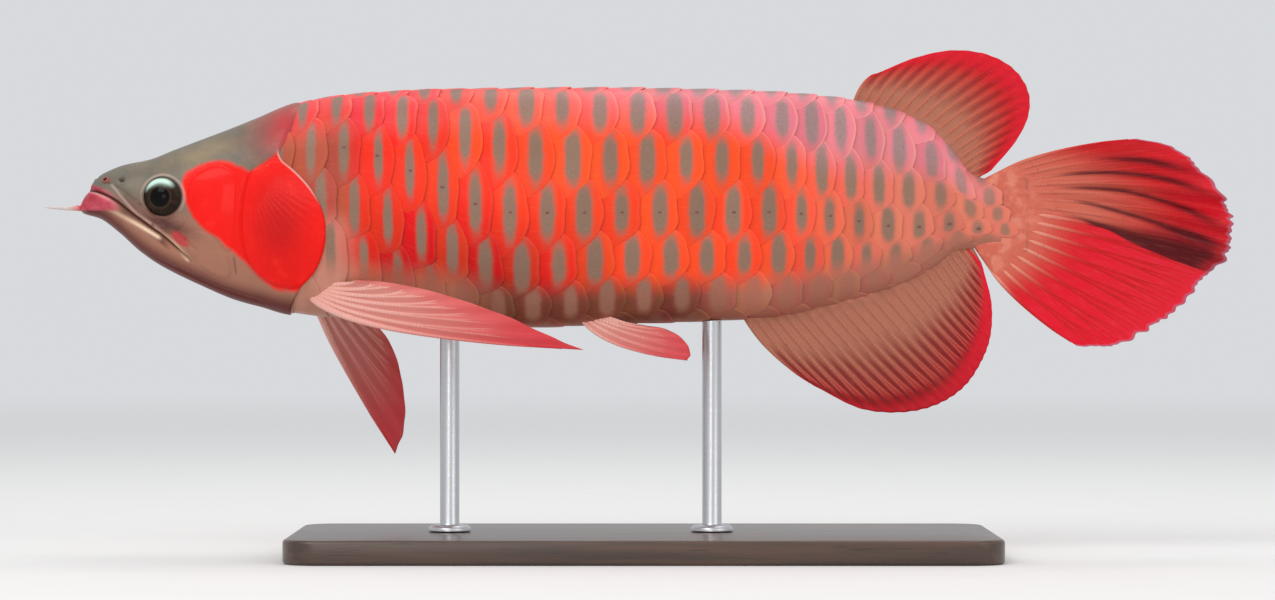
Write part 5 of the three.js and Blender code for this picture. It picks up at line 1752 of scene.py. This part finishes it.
class AROWANA_OT_face(bpy.types.Operator):
    """Make the eyes and the barbels"""
    bl_idname = "arowana.face"
    bl_label = "Eyes and barbels"

    def execute(self, context):
        for side in ("left", "right"):
            eye = build_eye(side, settings_of(context, "arowana_eyes"))
            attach(eye, "root")
            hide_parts(f"eye_{side}")
            barbel = build_barbel(side)
            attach(barbel, "root")
            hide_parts(f"barbel_{side}")
        return {"FINISHED"}


class AROWANA_OT_stand(bpy.types.Operator):
    """Make the display stand: a dark board and two steel rods"""
    bl_idname = "arowana.stand"
    bl_label = "Stand"

    def execute(self, context):
        settings = settings_of(context, "arowana_stand")
        board = build_board(settings)
        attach(board, "root")
        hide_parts("stand_base")
        steel = steel_material(settings)
        for node in ("stand_rod_front", "stand_rod_rear"):
            rod = build_rod(node, steel)
            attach(rod, "root")
            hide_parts(node)
        return {"FINISHED"}


class AROWANA_OT_stage(bpy.types.Operator):
    """Set the pale floor and the soft studio light"""
    bl_idname = "arowana.stage"
    bl_label = "Stage"

    def execute(self, context):
        stage = settings_of(context, "arowana_stage")
        self.floor(stage)
        self.lights(context, stage)
        context.scene.view_settings.view_transform = "Standard"
        return {"FINISHED"}

    def floor(self, stage):
        """A wide floor that turns into the even sky with distance."""
        paint = Paint("pale floor")
        place = paint.position()
        away = paint.node("ShaderNodeVectorMath", {"operation": "LENGTH"}, {0: place}, "Value")
        colour = paint.mix(paint.noise(place, 30.0, 4.0), stage.floor, tuple(0.96 * c for c in stage.floor))
        matt = paint.node("ShaderNodeBsdfPrincipled", {}, {"Base Color": colour, "Roughness": 0.85,
                                                           "Specular IOR Level": 0.0})
        sky = paint.node("ShaderNodeEmission", {}, {"Color": stage.sky, "Strength": stage.sky_strength})
        far = away.step(*SKY_FADE)
        material = paint.finished(paint.node("ShaderNodeMixShader", {}, {0: far, 1: matt, 2: sky}))
        corners = [(x * FLOOR_REACH, y * FLOOR_REACH, 0.0) for x, y in ((-1, -1), (1, -1), (1, 1), (-1, 1))]
        add_mesh("floor", corners, [(0, 1, 2, 3)], material)

    def lights(self, context, stage):
        """Key, fill, top and low lights, and an even sky."""
        lamps = (
            ("key", (-0.7, -1.3, 1.35), 0.9, stage.key_power, (1.0, 0.97, 0.94)),
            ("fill", (1.35, -1.25, 0.85), 1.0, stage.key_power * 0.42, (1.0, 0.98, 0.97)),
            ("top", (0.1, 0.35, 1.5), 0.9, stage.key_power * 0.55, (1.0, 0.98, 0.96)),
            ("low", (-0.3, -1.4, 0.26), 0.4, stage.key_power * 0.14, (1.0, 0.95, 0.92)),
        )
        for name, place, size, power, tint in lamps:
            data = bpy.data.lights.new(name, "AREA")
            data.size = size
            data.energy = power
            data.color = tint
            lamp = bpy.data.objects.new(name, data)
            lamp.location = place
            aim = Vector(LAMP_AIM) - Vector(place)
            lamp.rotation_euler = aim.to_track_quat("-Z", "Y").to_euler()
            context.scene.collection.objects.link(lamp)
        world = bpy.data.worlds.new("studio")
        world.use_nodes = True
        sky = world.node_tree.nodes["Background"]
        sky.inputs["Color"].default_value = (*stage.sky, 1.0)
        sky.inputs["Strength"].default_value = stage.sky_strength
        context.scene.world = world


OPERATORS = (AROWANA_OT_camera, AROWANA_OT_skin, AROWANA_OT_scales, AROWANA_OT_fins, AROWANA_OT_face,
             AROWANA_OT_stand, AROWANA_OT_stage)


class AROWANA_PT_model(bpy.types.Panel):
    """Lists the pieces of the model and their settings"""
    bl_label = "Asian Arowana"
    bl_idname = "AROWANA_PT_model"
    bl_space_type = "VIEW_3D"
    bl_region_type = "UI"
    bl_category = "Arowana"

    def draw(self, context):
        for operator in OPERATORS:
            self.layout.operator(operator.bl_idname)
        for name, group in SETTINGS.items():
            box = self.layout.box()
            for prop in group.__annotations__:
                box.prop(getattr(context.scene, name), prop)


def register():
    for name, group in SETTINGS.items():
        bpy.utils.register_class(group)
        setattr(bpy.types.Scene, name, bpy.props.PointerProperty(type=group))
    for operator in (*OPERATORS, AROWANA_PT_model):
        bpy.utils.register_class(operator)


def unregister():
    for operator in (AROWANA_PT_model, *reversed(OPERATORS)):
        bpy.utils.unregister_class(operator)
    for name, group in SETTINGS.items():
        delattr(bpy.types.Scene, name)
        bpy.utils.unregister_class(group)


def main():
    """Makes the whole model."""
    register()
    bpy.ops.arowana.camera()
    bpy.ops.arowana.skin()
    bpy.ops.arowana.scales()
    bpy.ops.arowana.fins()
    bpy.ops.arowana.face()
    bpy.ops.arowana.stand()
    bpy.ops.arowana.stage()


if __name__ == "__main__":
    main()
